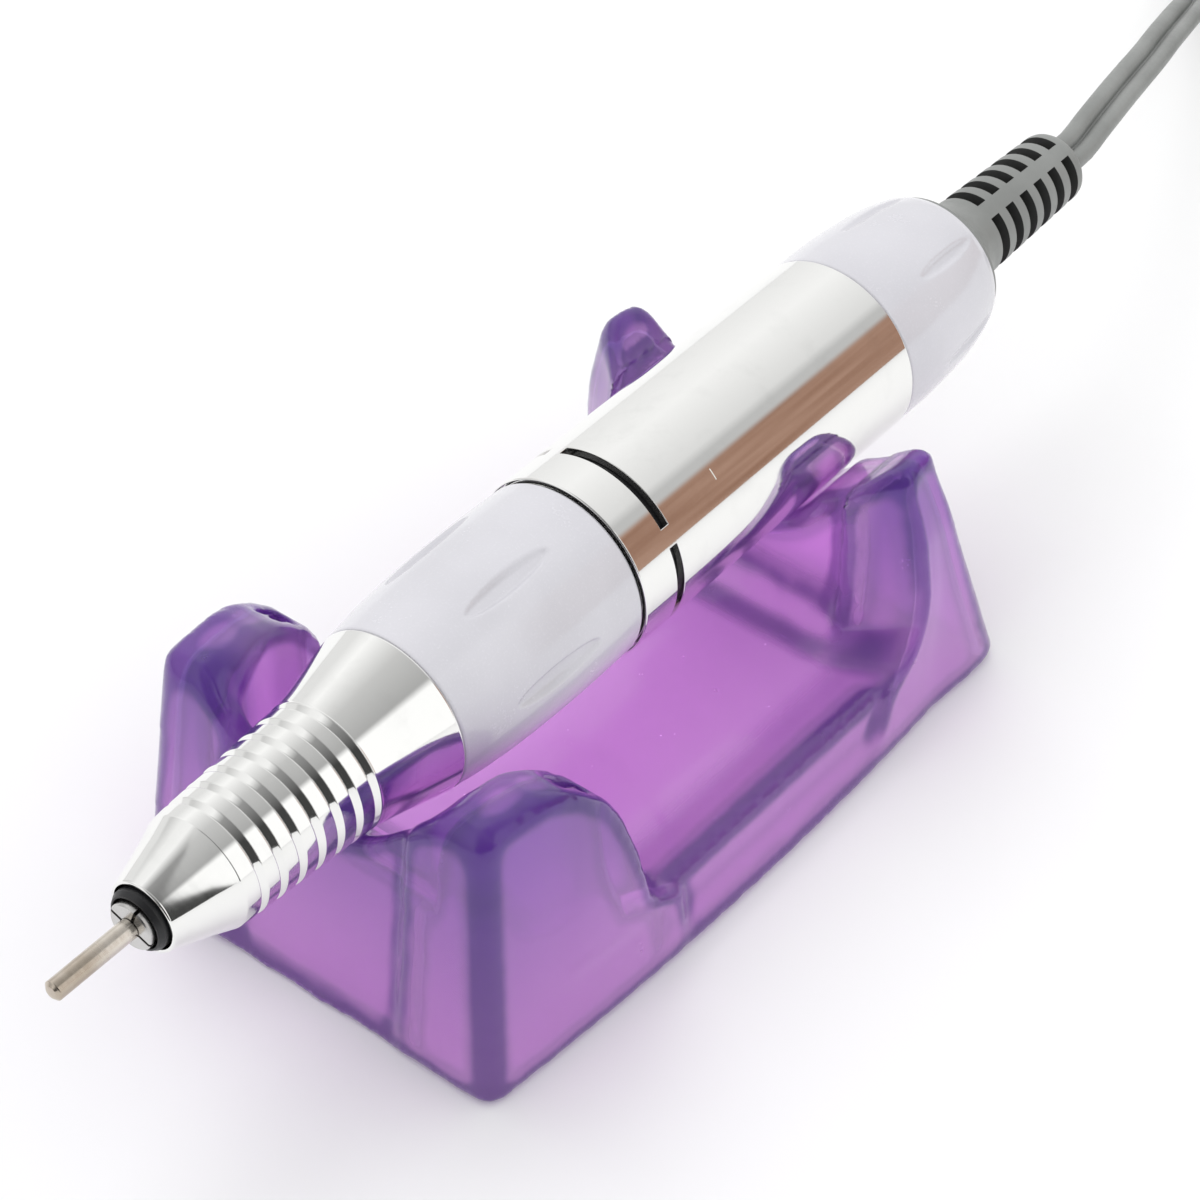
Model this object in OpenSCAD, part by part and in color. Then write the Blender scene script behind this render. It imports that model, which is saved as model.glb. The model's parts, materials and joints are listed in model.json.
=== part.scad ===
// Electric nail drill: a micromotor handpiece with a twist-lock collet, lying in
// its moulded cradle, with its twin lead coiled behind it.
// X is across, Y runs from the nose (-Y) to the lead (+Y), Z is up, in millimetres.
// The origin is on the surface that the cradle stands on, halfway between the tip of
// the shank and the end of the strain relief.

/* [Body tube] */
// Outside diameter of the chrome tube
tube_d = 23; // [20:0.5:28]
// Length of the chrome tube
tube_l = 49; // [45:0.5:60]
// Wall of the chrome tube
tube_wall = 1; // [0.8:0.1:1.4]
// Distance of the cooling slots from the tube's front edge
slot_at = 5.4; // [5:0.1:9]
// Width of a cooling slot
slot_w = 1.2; // [0.8:0.1:1.6]
// Arc of each of the four slots, in degrees
slot_arc = 78; // [50:1:80]

/* [Twist section] */
// Length of the white front grip
grip_l = 28.2; // [25:0.1:34]
// Outside diameter of the grip where it is thickest
grip_d = 22.9; // [20:0.1:27]
// Outside diameter where the grip meets the nose
grip_front_d = 20.6; // [18.8:0.1:24]
// Length of the chrome nose
nose_l = 37.7; // [36:0.1:44]
// Number of finger grooves round the nose
groove_n = 7; // [3:1:7]
// Distance from one finger groove to the next
groove_pitch = 2.7; // [2.2:0.05:2.8]
// Width of a finger groove
groove_w = 1; // [0.6:0.1:1.4]
// Depth of a finger groove
groove_depth = 0.55; // [0.3:0.05:0.6]
// Angle that the section turns to open the chuck, in degrees
twist_angle = 60; // [45:1:70]

/* [Rear cap and strain relief] */
// Length of the white rear cap
cap_l = 19.8; // [18:0.1:26]
// Wall of the rear cap
cap_wall = 1.6; // [1.2:0.1:2]
// Outside diameter at the cap's rear edge
cap_rear_d = 18.6; // [17:0.1:19]
// Length of the strain relief behind the cap
relief_l = 26; // [24:0.5:34]
// Diameter of the strain relief's flange
relief_flange_d = 17.6; // [14:0.1:17.6]
// Diameter at the thick end of its slotted taper
relief_d = 10.4; // [9:0.1:12]
// Diameter at its tip
relief_tip_d = 9.2; // [7:0.1:9.6]
// Number of slot rows in the strain relief
relief_slots = 6; // [4:1:6]

/* [Chuck] */
// Diameter of a standard bit shank
shank_d = 2.35; // [2.35:0.01:2.4]
// Length of the test shank that sticks out
shank_out = 11.1; // [8:0.1:20]
// Length of the shank held inside
shank_in = 22; // [15:0.5:24]
// How far the collet moves forward when it opens
collet_travel = 1; // [0.5:0.1:1]
// Diameter of the hollow spindle
spindle_d = 6; // [5.8:0.1:6.2]
// Outside diameter of the spindle bearings
bearing_d = 10; // [9.6:0.1:10.4]
// Width of a spindle bearing
bearing_w = 3; // [2.5:0.1:4]

/* [Motor] */
// Length of the motor's steel can
can_l = 32.5; // [30:0.5:36]
// Wall of the can
can_wall = 0.9; // [0.6:0.1:1.2]
// Thickness of the magnets
magnet_t = 1.8; // [1.2:0.1:2.2]
// Diameter of the motor shaft
shaft_d = 2.4; // [2:0.1:2.8]
// Length of the brush housing behind the can
bell_l = 10; // [9:0.5:11]

/* [Cradle] */
// Length of the cradle
stand_l = 92; // [90:1:112]
// Width in the middle, where the sides bow out
stand_w = 55; // [52:1:66]
// How far the sides bow out
stand_bow = 2.2; // [0:0.1:4]
// Wall of the moulding
stand_wall = 1.8; // [1.4:0.1:2.2]
// Height of the floor between the two seats
floor_h = 10; // [8:0.5:12]
// Height of the front lobes
front_lobe_h = 36; // [33:0.5:40]
// Height of the rear lobes
rear_lobe_h = 35; // [33:0.5:38]
// Height of the rear seat under the tube
seat_h = 20.5; // [18:0.1:24]
// How far the side walls lean in, in degrees
draft = 5; // [3:0.5:7]
// Depth of the step between a lobe and the panel beside it
panel_step = 1.6; // [0.8:0.1:2]

/* [Lead] */
// Width of the twin lead
lead_w = 4.9; // [4:0.1:5]
// Thickness of the twin lead
lead_t = 2.45; // [2:0.05:2.5]
// Turns of the coil that lie side by side
coil_rows = 3; // [2:1:4]
// Layers of turns in the coil
coil_layers = 3; // [2:1:4]
// Diameter of the jack plug's contact
jack_d = 3.5; // [3.5:0.1:3.5]
// Length of the jack plug's contact
jack_l = 14.5; // [14:0.5:17]

/* [Hidden] */
$fn = 96;
tiny = 0.01;
run_fit = 0.05;
free_gap = 0.3;

// Where the handpiece lies: stations count along its axis from the joint between
// grip and tube, and axis_h puts the tube down on the rear seat.
tube_r = tube_d / 2;
axis_h = seat_h + free_gap + tube_r;
joint_in_stand = -2.6;

// Radii from the tube inwards
tube_ri = tube_r - tube_wall;
liner_t = 0.8;
liner_r = tube_ri - run_fit;
liner_ri = liner_r - liner_t;
can_r = liner_ri - run_fit;
magnet_r = can_r - can_wall;
armature_r = magnet_r - magnet_t - 0.4;
shaft_r = shaft_d / 2;

// Radii from the shank outwards
shank_r = shank_d / 2;
bar_ri = shank_r + 0.125;
spindle_r = spindle_d / 2;
bar_r = spindle_r - 0.85;
bearing_r = bearing_d / 2;
housing_r = bearing_r + 0.95;
barrel_r = housing_r + 1.05;
barrel_ri = barrel_r - 1;
nose_bore_r = housing_r + run_fit;
collar_r = spindle_r + 0.65;
tip_bore_r = collar_r + free_gap;
ridge_r = nose_bore_r + 1.1;
ridge_grow = 1;

// Stations, front to rear
tube_s0 = 0.1;
tube_s1 = tube_s0 + tube_l;
cap_s0 = tube_s1;
cap_s1 = cap_s0 + cap_l;
relief_s0 = cap_s1 + 0.5;
relief_s1 = cap_s1 + relief_l;
grip_s1 = -0.2;
grip_s0 = grip_s1 - grip_l;
nose_s1 = grip_s0;
nose_s0 = nose_s1 - nose_l;
shoulder_s = nose_s0 + 5.35;
groove_s0 = shoulder_s + 4.4;
groove_end_s = groove_s0 + (groove_n - 1) * groove_pitch + groove_w;
bore_s0 = shoulder_s + 2.75;
housing_s0 = bore_s0 + 0.4;
flange_s0 = 0.6;
flange_s1 = flange_s0 + 4;
front_bearing_s = housing_s0 + 0.8;
nut_s1 = nose_s1 + 4.2;
nut_w = 3;
rear_bearing_s = nut_s1 - nut_w - bearing_w;
barrel_s0 = nut_s1 + 0.2;
pusher_s0 = -14.4;
pusher_w = 2;
pin_s = pusher_s0 + pusher_w / 2;
pin_r = 0.75;
coupling_s1 = pusher_s0 - 0.4;
coupling_w = 4;
coupling_s0 = coupling_s1 - coupling_w;
spindle_s1 = nut_s1 - 0.4;
spindle_s0 = nose_s0 + 0.6;
collet_s0 = nose_s0 - 1.8;
collet_s1 = collet_s0 + 20;
cone_s1 = spindle_s0 + 3;
shaft_s0 = coupling_s1 + 4.5;
cam_r = barrel_r + 1.95;
cam_s0 = barrel_s0 - 0.8;
blade_half = 2.2;
blade_t = 1.4;
mount_s1 = flange_s1 + 4;
can_s1 = mount_s1 + can_l;
bell_s1 = can_s1 + bell_l;
liner_s1 = tube_s1 - 4.5;
core_s0 = mount_s1 + 8.4;
core_s1 = can_s1 - 6;
brush_s = can_s1 + 3.5;
motor_bearing_r = 3;
motor_bearing_w = 2.5;
race_fit = 0.02;
can_plate = 1.2;
screw_r = 0.85;
screw_at = 6.2;
winding_at = armature_r * 0.7;
winding_r = 1.15;
commutator_r = 2.6;
relief_neck_r = 4.9;
rear_seat_s = can_s1 + 6.3;
wire_end_s = cap_s1 - 6;

// Places along Y
joint_y = -(collet_s0 - shank_out + relief_s1) / 2;
stand_y = joint_y - joint_in_stand;
relief_y = joint_y + relief_s1;

// Outer lines of the turned shells, as [station, radius]
nose_line = [[nose_s0, collar_r + 0.62], [nose_s0 + 0.15, collar_r + 0.72],
    [shoulder_s - 0.15, ridge_r - 1.15], [shoulder_s + 0.1, ridge_r - 0.98],
    [groove_s0 - 1.9, ridge_r - 0.12], [groove_s0 - 0.6, ridge_r],
    [groove_end_s + 0.6, ridge_r + ridge_grow],
    [nose_s1 - 0.3, grip_front_d / 2 - 0.05], [nose_s1, grip_front_d / 2 - 0.2]];
grip_end_r = max(grip_d / 2 - 0.6, tube_ri + 0.35);
grip_line = [[grip_s0, grip_front_d / 2 - 0.15], [grip_s0 + 0.25, grip_front_d / 2],
    [grip_s0 + 4.4, grip_front_d / 2 + (grip_d - grip_front_d) * 0.24],
    [grip_s0 + 10, grip_front_d / 2 + (grip_d - grip_front_d) * 0.42],
    [grip_s0 + 17, grip_d / 2], [grip_s1 - 6, grip_d / 2 - 0.04],
    [grip_s1 - 0.5, grip_end_r + 0.35], [grip_s1, grip_end_r]];
cap_line = [[cap_s0, tube_r - 0.3], [cap_s0 + 0.3, tube_r - 0.1],
    [cap_s0 + cap_l * 0.3, tube_r - 0.12], [cap_s0 + cap_l * 0.5, tube_r - 0.35],
    [cap_s0 + cap_l * 0.7, tube_r - 0.75], [cap_s0 + cap_l * 0.85, tube_r - 1.3],
    [cap_s0 + cap_l * 0.95, cap_rear_d / 2 + 0.35], [cap_s1, cap_rear_d / 2 - 0.1]];

// The cradle
stand_half = stand_l / 2;
lobe_front_y = -stand_half;
front_foot_y = -17.1;
rear_foot_y = 21.4;
rear_face_y = rear_foot_y + 5;
lip_y = lobe_front_y + 6;
lip_h = axis_h - free_gap - lookup(lip_y + 0.6 - joint_in_stand, nose_line);
front_seat_r = 10.5;
rear_seat_r = tube_r + 0.6;
panel_half = 11.8;
web_half = 16;
front_lean = 0.09;
rear_lean = 0.278;
shoulder_x = stand_w / 2 - 3.4;

// The lead's route where it isn't coiled: across, back from the strain relief, and
// the share of the axis height. It ends inside the coil.
lead_route = [[0, 0, 1], [-0.2, 5, 0.995], [-1.4, 10, 0.975], [-2.8, 15.5, 0.945],
    [-4.6, 21.7, 0.895], [-6.7, 28.7, 0.83], [-9.1, 36.2, 0.75], [-12.1, 44.9, 0.655],
    [-15.4, 54.4, 0.54], [-19, 63.9, 0.41], [-24, 74.5, 0.275], [-29.5, 85.5, 0.155],
    [-34.5, 96.5, 0.07], [-38, 107.5, 0.03], [-39.6, 116.5, 0.012]];
lead_rest_h = lead_t / 2;
lead_points = [for (p = lead_route)
    [p[0], relief_y + p[1], lead_rest_h + p[2] * (axis_h - lead_rest_h)]];
coil_centre = [-8, relief_y + 125.7];
coil_mean_r = 27;
coil_in_r = coil_mean_r - coil_rows * lead_w / 2;
coil_out_r = coil_mean_r + coil_rows * lead_w / 2;
coil_h = coil_layers * lead_t;
boot_r = 4.25;
boot_l = 24;
boot_taper = 11;
ring_s = boot_taper + boot_l + 9;
tail_x = 24;
tail_points = [[tail_x, coil_centre[1] - 6, 6.1], [tail_x, coil_centre[1] - 12, 5.2],
    [tail_x, coil_centre[1] - 18, 4.4], [tail_x, coil_centre[1] - 22, boot_r]];

// ---- helpers ----
module on_axis() { translate([0, joint_y, axis_h]) rotate([-90, 0, 0]) children(); }

module tube(s0, s1, r, ri)
{
    translate([0, 0, s0]) difference() {
        cylinder(h = s1 - s0, r = r);
        translate([0, 0, -1]) cylinder(h = s1 - s0 + 2, r = ri);
    }
}

// A solid of revolution from a list of [station, radius], closed on the axis
module turned(line)
{
    first = line[0];
    last = line[len(line) - 1];
    rotate_extrude() polygon(concat([[0, first[0]]], [for (p = line) [p[1], p[0]]],
        [[0, last[0]]]));
}

function unit(v) = v / norm(v);
function heading(pts, i) = unit(pts[min(i + 1, len(pts) - 1)] - pts[max(i - 1, 0)]);

// A tube with an oval section of half sizes a (level) and b, along a list of points
module swept(pts, a, b, sides)
{
    rings = [for (i = [0 : len(pts) - 1])
        let (t = heading(pts, i), u = unit(cross([0, 0, 1], t)), v = cross(t, u))
        [for (k = [0 : sides - 1]) let (q = 360 * (k + 0.5) / sides)
            pts[i] + u * a * cos(q) + v * b * sin(q)]];
    last = len(pts) - 1;
    polyhedron(points = [for (r = rings, p = r) p], faces = concat(
        [[for (k = [0 : sides - 1]) k]],
        [for (i = [0 : last - 1], k = [0 : sides - 1]) let (n = (k + 1) % sides)
            [i * sides + k, (i + 1) * sides + k, (i + 1) * sides + n, i * sides + n]],
        [[for (k = [sides - 1 : -1 : 0]) last * sides + k]]));
}

// A round wire wound into a spring along Z
module coil_spring(r, wire, length, turns)
{
    steps = 14;
    count = turns * steps;
    swept_free([for (i = [0 : count]) [r * cos(360 * i / steps), r * sin(360 * i / steps),
        wire + (length - 2 * wire) * i / count]], wire, 6);
}

module swept_free(pts, r, sides)
{
    rings = [for (i = [0 : len(pts) - 1])
        let (t = heading(pts, i), u = unit([pts[i][0], pts[i][1], 0]), v = cross(t, u))
        [for (k = [0 : sides - 1]) pts[i] + r * (u * cos(360 * k / sides)
            + v * sin(360 * k / sides))]];
    last = len(pts) - 1;
    polyhedron(points = [for (g = rings, p = g) p], faces = concat(
        [[for (k = [0 : sides - 1]) k]],
        [for (i = [0 : last - 1], k = [0 : sides - 1]) let (n = (k + 1) % sides)
            [i * sides + k, (i + 1) * sides + k, (i + 1) * sides + n, i * sides + n]],
        [[for (k = [sides - 1 : -1 : 0]) last * sides + k]]));
}

// ---- cradle ----
function arc(c, r, a0, a1, n = 6) = [for (i = [0 : n])
    let (a = a0 + (a1 - a0) * i / n) [c[0] + r * cos(a), c[1] + r * sin(a)]];

// Plan of the cradle: bowed sides and small corner radii, drawn inset by i
module stand_plan(i)
{
    half = stand_half - i;
    end_x = stand_w / 2 - stand_bow - i;
    corner = 2.4;
    side = [for (k = [0 : 12]) let (y = -half + corner + (half - corner) * k / 6)
        [end_x + stand_bow * (1 - pow(y / half, 2)), y]];
    right = concat(arc([end_x - corner + 0.2, -half + corner], corner, -90, -8, 5), side,
        arc([end_x - corner + 0.2, half - corner], corner, 8, 90, 5));
    polygon(concat(right, [for (k = [len(right) - 1 : -1 : 0]) [-right[k][0], right[k][1]]]));
}

// The plan raised to a block whose four walls lean in, the rear one most
module stand_block(i)
{
    raise = 60;
    shrink_x = 1 - raise * tan(draft) / (stand_w / 2 - i);
    shrink_y = 1 - raise * (front_lean + rear_lean) / stand_l;
    still_y = raise * front_lean / (1 - shrink_y) - stand_half;
    translate([0, still_y, 0]) linear_extrude(raise, scale = [shrink_x, shrink_y], slices = 1)
        translate([0, -still_y]) stand_plan(i);
    translate([0, 0, -5]) linear_extrude(5) stand_plan(i);
}

// Front view of the rounded shoulders, run along the whole length
module shoulders(i)
{
    x = shoulder_x - i;
    z = front_lobe_h - i;
    right = concat([[stand_w, -6], [stand_w, 0], [x, z - 3]], arc([x - 3, z - 3], 3, 10, 90, 5));
    rotate([90, 0, 0]) linear_extrude(stand_l + 10, center = true)
        polygon(concat(right, [for (k = [len(right) - 1 : -1 : 0]) [-right[k][0], right[k][1]]]));
}

// Side view of the front lobes, from the front face over the top to the floor
function front_outline(i) = let (h = front_lobe_h - i, y0 = lobe_front_y + i)
    concat([[y0 - 2, -5], [y0 - 2, 0], [y0 + 2.6, h - 5]],
        arc([y0 + 6.4, h - 3.4], 3.4, 170, 90, 4),
        [[y0 + 12.4, h - 0.4], [y0 + 15.5, h - 1.7], [y0 + 18.5, h - 4],
        [y0 + 22 - i, h - 7.3], [y0 + 25 - 2 * i, h - 11], [front_foot_y - 2 * i, h - 17],
        [front_foot_y + 0.9 - 2 * i, floor_h + 4], [front_foot_y + 1.5 - 2 * i, floor_h + 1.5],
        [front_foot_y + 3 - 2 * i, floor_h - i - tiny], [front_foot_y + 3 - 2 * i, -5]]);

// Side view of the rear lobes
function rear_outline(i) = let (h = rear_lobe_h - i, y1 = stand_half - i)
    concat([[rear_foot_y + i, -5], [rear_foot_y + i, floor_h - i - tiny]],
        arc([rear_foot_y + i, floor_h + 4.5 - i], 4.5, -90, -12, 4),
        [[rear_face_y + i, h - 5]],
        arc([rear_face_y + 3 + i, h - 3], 3, 180, 90, 3),
        [[y1 - 10.6, h], [y1 - 9, h - 0.9], [y1 - 7.6, h - 3], [y1 + 2, -5]]);

module side_view(outline, half)
{
    rotate([90, 0, 90]) linear_extrude(2 * half, center = true) polygon(outline);
}

// The seats that the handpiece lies in, grown by i for the inner wall
module seats(i)
{
    translate([0, 0, lip_h + front_seat_r]) rotate([90, 0, 0]) seat(front_seat_r + i, 45, 45);
    translate([0, stand_l, seat_h + rear_seat_r]) rotate([90, 0, 0])
        seat(rear_seat_r + i, 64, 37, stand_l - front_foot_y - 8);
}

// A round seat up to angle reach on both sides, then straight flanks that open out
module seat(r, reach, flank, length = stand_l)
{
    away = 50;
    top = [r * sin(reach), -r * cos(reach)];
    out = top + away * [cos(flank), sin(flank)];
    cylinder(h = length, r = r);
    linear_extrude(length) polygon([top, out, [-out[0], out[1]], [-top[0], top[1]]]);
}

// The space between the front lobes: it widens to the rear, and its bottom
// falls from the front lip to the floor
module pocket(i)
{
    plan = [[0, lip_y - i], [13.5 + i, lip_y - i], [15 + i, lip_y + 4 - i], [16.2 + i, lip_y + 8],
        [16.8 + i, front_foot_y - 8.4], [17.6 + i, front_foot_y - 2.5],
        [20.4 + i, front_foot_y + 0.6], [23 + i, front_foot_y + 3], [0, front_foot_y + 3]];
    intersection() {
        linear_extrude(80) polygon(concat(plan, [for (k = [len(plan) - 1 : -1 : 0])
            [-plan[k][0], plan[k][1]]]));
        side_view([[lip_y - i, lip_h - i + 0.5], [lip_y + 1, lip_h - i],
            [lip_y + 11 - i, floor_h + 1.5 - i], [lip_y + 14 - i, floor_h - i],
            [front_foot_y + 3, floor_h - i], [front_foot_y + 3, 80], [lip_y - i, 80]], stand_w);
    }
}

// The panels set back between the front lobes and between the rear ones
module panels(i)
{
    y0 = lobe_front_y + i;
    side_view([[y0 - 20, 1.2 - i], [y0 + panel_step / 2, 1.2 - i],
        [y0 + 3 + panel_step, front_lobe_h - 5], [y0 + 3.6 + panel_step, 60], [y0 - 20, 60]],
        panel_half + i);
    y1 = rear_face_y + i;
    z1 = floor_h - i;
    side_view([[y1 - 20, z1 + 1.4], [y1 - 3, z1 + 1.4],
        [y1 + panel_step * 0.4, z1 + 3.6], [y1 + panel_step, z1 + 6.5],
        [y1 + panel_step + 0.4, 60], [y1 - 20, 60]], web_half + i);
}

// The floor between the seats: its edge drops steeply, then the skirt runs out to the table
module floor_slab(i)
{
    x = stand_w / 2 - 1 - i;
    z = floor_h - i;
    edge_x = x - 1.3;
    edge_r = 0.9;
    half = concat([[x + 1.2, -5], [x + 1.2, 0], [x - 0.9, z - 4.4], [edge_x, z - edge_r]],
        arc([edge_x - edge_r, z - edge_r], edge_r, 0, 90, 4));
    rotate([90, 0, 0]) linear_extrude(stand_l - 20, center = true)
        polygon(concat(half, [for (k = [len(half) - 1 : -1 : 0]) [-half[k][0], half[k][1]]]));
}

module stand_form(i)
{
    difference() {
        intersection() {
            stand_block(i);
            shoulders(i);
            union() {
                floor_slab(i);
                side_view(front_outline(i), stand_w);
                side_view(rear_outline(i), stand_w);
            }
        }
        seats(i);
        pocket(i);
        panels(i);
    }
}

module stand()
{
    color([0.56, 0.28, 0.72]) translate([0, stand_y, 0]) difference() {
        stand_form(0);
        stand_form(stand_wall);
        translate([-stand_w, -stand_l, -20]) cube([2 * stand_w, 2 * stand_l, 20]);
    }
}

// ---- body ----
module body_tube()
{
    color([0.86, 0.86, 0.87]) on_axis() difference() {
        turned([[tube_s0, tube_r - 0.25], [tube_s0 + 0.25, tube_r],
            [tube_s1 - 0.15, tube_r], [tube_s1, tube_r - 0.15]]);
        translate([0, 0, -5]) cylinder(h = tube_l + 10, r = tube_ri);
        for (a = [0 : 3]) rotate([0, 0, -116 + a * 90])
            rotate_extrude(angle = slot_arc)
                translate([tube_ri - 1, tube_s0 + slot_at]) square([tube_wall + 3, slot_w]);
    }
}

module inner_liner()
{
    color([0.06, 0.06, 0.07]) on_axis() tube(flange_s1, liner_s1, liner_r, liner_ri);
}

module rear_cap()
{
    inner = [[cap_s0 - 1, liner_ri], [cap_s0 + cap_l * 0.3, liner_ri],
        [cap_s0 + cap_l * 0.62, tube_r - 0.7 - cap_wall], [cap_s1 - 2.8, cap_rear_d / 2 - cap_wall]];
    color([0.88, 0.87, 0.91]) on_axis() difference() {
        union() {
            turned(cap_line);
            translate([0, 0, liner_s1]) cylinder(h = cap_s0 - liner_s1 + 1, r = liner_r);
        }
        turned(inner);
        translate([0, 0, liner_s1 - 1]) cylinder(h = cap_s0 - liner_s1 + 2, r = liner_ri);
        translate([0, 0, cap_s1 - 4]) cylinder(h = 8, r = relief_neck_r + run_fit);
        translate([0, 0, cap_s1 - 0.5]) cylinder(h = 4, r = relief_flange_d / 2 + 0.15);
    }
}

module strain_relief()
{
    body_s0 = relief_s0 + 6.4;
    flare = [for (k = [0 : 6]) let (q = k / 6) [relief_s0 + 0.7 + 5.7 * q,
        relief_d / 2 + (relief_flange_d / 2 - relief_d / 2) * pow(1 - q, 1.7)]];
    line = concat([[cap_s1 - 3.6, relief_neck_r + 1.6], [cap_s1 - 2.8, relief_neck_r + 1.6],
        [cap_s1 - 2.8, relief_neck_r], [cap_s1 - 0.4, relief_neck_r],
        [cap_s1 - 0.4, relief_flange_d / 2], [relief_s0 + 0.3, relief_flange_d / 2]], flare,
        [[relief_s1 - 1.2, relief_tip_d / 2], [relief_s1 - 0.3, relief_tip_d / 2 - 0.5],
        [relief_s1, relief_tip_d / 2 - 1.3]]);
    pitch = (relief_l - 7.8) / relief_slots;
    color([0.55, 0.56, 0.55]) on_axis() difference() {
        turned(line);
        translate([0, 0, cap_s1 - 5]) cylinder(h = relief_l + 10, r = lead_w / 2 + run_fit);
        for (k = [0 : relief_slots - 1], side = [0, 180])
            rotate([0, 0, -65 + 12.5 + side]) rotate_extrude(angle = 155)
                translate([lead_w / 2 + 0.75, body_s0 + pitch * k + 0.5])
                    square([4, pitch * 0.52]);
    }
}

// The round end of the lead inside the strain relief
module lead_end()
{
    color([0.5, 0.5, 0.5]) on_axis() translate([0, 0, wire_end_s])
        cylinder(h = relief_s1 - wire_end_s, r = lead_w / 2);
}

// ---- motor ----
module motor_can()
{
    boss_r = motor_bearing_r + 1.1;
    color([0.72, 0.73, 0.75]) on_axis() difference() {
        union() {
            tube(mount_s1, can_s1, can_r, can_r - can_wall);
            tube(mount_s1, mount_s1 + can_plate, can_r - tiny, motor_bearing_r);
            tube(mount_s1, mount_s1 + can_plate + motor_bearing_w, boss_r, motor_bearing_r);
        }
        screw_places() translate([0, 0, mount_s1 - 1]) cylinder(h = 4, r = screw_r);
    }
}

module screw_places()
{
    for (a = [0, 180]) rotate([0, 0, a]) translate([screw_at, 0, 0]) children();
}

module magnets()
{
    color([0.2, 0.2, 0.22]) on_axis() for (a = [0, 180]) rotate([0, 0, a - 75])
        rotate_extrude(angle = 150) translate([magnet_r - magnet_t, core_s0 - 1.5])
            square([magnet_t, core_s1 - core_s0 + 3]);
}

module end_bell()
{
    color([0.1, 0.1, 0.11]) on_axis() difference() {
        union() {
            tube(can_s1, bell_s1, can_r, can_r - 1);
            tube(rear_seat_s, bell_s1, can_r - 0.5, motor_bearing_r);
            tube(bell_s1 - 1.2, bell_s1, motor_bearing_r + 1, shaft_r + 0.4);
        }
        terminal_places(0.05);
    }
}

module terminal_places(gap)
{
    for (x = [-1, 1]) translate([x * 4.6 - 0.2 - gap, -1 - gap, rear_seat_s - 1])
        cube([0.4 + 2 * gap, 2 + 2 * gap, bell_s1 - rear_seat_s + 5]);
}

module brush_places()
{
    for (a = [90, 270]) on_axis() rotate([0, 0, a]) translate([0, 0, brush_s])
        rotate([0, 90, 0]) children();
}

module brush_tubes()
{
    color([0.8, 0.65, 0.3]) brush_places() difference() {
        translate([-1.5, -2, 3.6]) cube([3, 4, can_r - 1 - 3.6]);
        translate([-1.5 + 0.45, -2 + 0.45, 0]) cube([2.1, 3.1, can_r]);
    }
}

module brushes()
{
    color([0.15, 0.15, 0.16]) brush_places()
        translate([-1, -1.5, commutator_r + run_fit]) cube([2, 3, 3.6]);
}

module brush_springs()
{
    spring_z = commutator_r + 3.75;
    color([0.75, 0.75, 0.78]) brush_places() translate([0, 0, spring_z])
        coil_spring(0.7, 0.18, can_r - 1.05 - spring_z, 3);
}

module terminals() { color([0.85, 0.7, 0.35]) on_axis() terminal_places(0); }

module lead_wires()
{
    y0 = bell_s1 + 3.6 + joint_y;
    y1 = wire_end_s + joint_y;
    color([0.75, 0.1, 0.1]) for (x = [-1, 1]) swept([[x * 4.6, y0, axis_h + 1.4],
        [x * 4.4, y0 + 2, axis_h + 1.2], [x * 3, y0 + (y1 - y0) * 0.6, axis_h + 0.6],
        [x * 1.5, y1 - 1, axis_h], [x * 1.25, y1, axis_h]], 0.55, 0.55, 8);
}

module motor_mount()
{
    color([0.78, 0.79, 0.8]) on_axis() difference() {
        tube(flange_s1, mount_s1, can_r, shaft_r + 1.2);
        screw_places() translate([0, 0, flange_s1 - 1]) cylinder(h = 8, r = screw_r + run_fit);
        screw_places() translate([0, 0, flange_s1 - 1]) cylinder(h = 2.2, r = screw_r + 0.75);
    }
}

module mount_screws()
{
    color([0.6, 0.6, 0.62]) on_axis() screw_places() difference() {
        union() {
            translate([0, 0, flange_s1 + 0.1]) cylinder(h = 1.1, r = screw_r + 0.65);
            translate([0, 0, flange_s1 + 0.5]) cylinder(h = mount_s1 + 1 - flange_s1, r = screw_r - tiny);
        }
        translate([-2, -0.2, flange_s1]) cube([4, 0.4, 0.6]);
    }
}

// A shielded ball bearing drawn as one ring with a groove at each face
module bearing(s, w, r, ri)
{
    mid = (r + ri) / 2;
    color([0.7, 0.71, 0.73]) on_axis() difference() {
        tube(s, s + w, r, ri);
        for (z = [s - 1, s + w - 0.25]) tube(z, z + 1.25, mid + (r - ri) * 0.22, mid - (r - ri) * 0.22);
    }
}

module motor_front_bearing()
{
    bearing(mount_s1 + can_plate, motor_bearing_w, motor_bearing_r, shaft_r + race_fit);
}

module motor_rear_bearing()
{
    bearing(rear_seat_s, motor_bearing_w, motor_bearing_r, shaft_r + race_fit);
}

module front_bearing() { bearing(front_bearing_s, bearing_w, bearing_r, spindle_r + race_fit); }

module rear_bearing() { bearing(rear_bearing_s, bearing_w, bearing_r, spindle_r + race_fit); }

// ---- spindle housing ----
module spindle_housing()
{
    color([0.75, 0.76, 0.78]) on_axis() difference() {
        union() {
            translate([0, 0, housing_s0]) cylinder(h = barrel_s0 - housing_s0 + 1, r = housing_r);
            translate([0, 0, barrel_s0 - 1]) cylinder(h = flange_s1 - barrel_s0 + 1, r = barrel_r);
            translate([0, 0, flange_s0]) cylinder(h = flange_s1 - flange_s0, r = liner_r);
        }
        translate([0, 0, housing_s0 - 1]) cylinder(h = 10, r = bearing_r - 0.6);
        translate([0, 0, front_bearing_s]) cylinder(h = nut_s1 - front_bearing_s + 1, r = bearing_r);
        translate([0, 0, barrel_s0]) cylinder(h = flange_s1 - barrel_s0 + 1, r = barrel_ri);
        for (a = [0, 180]) rotate([0, 0, a]) pin_slot();
    }
}

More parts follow.
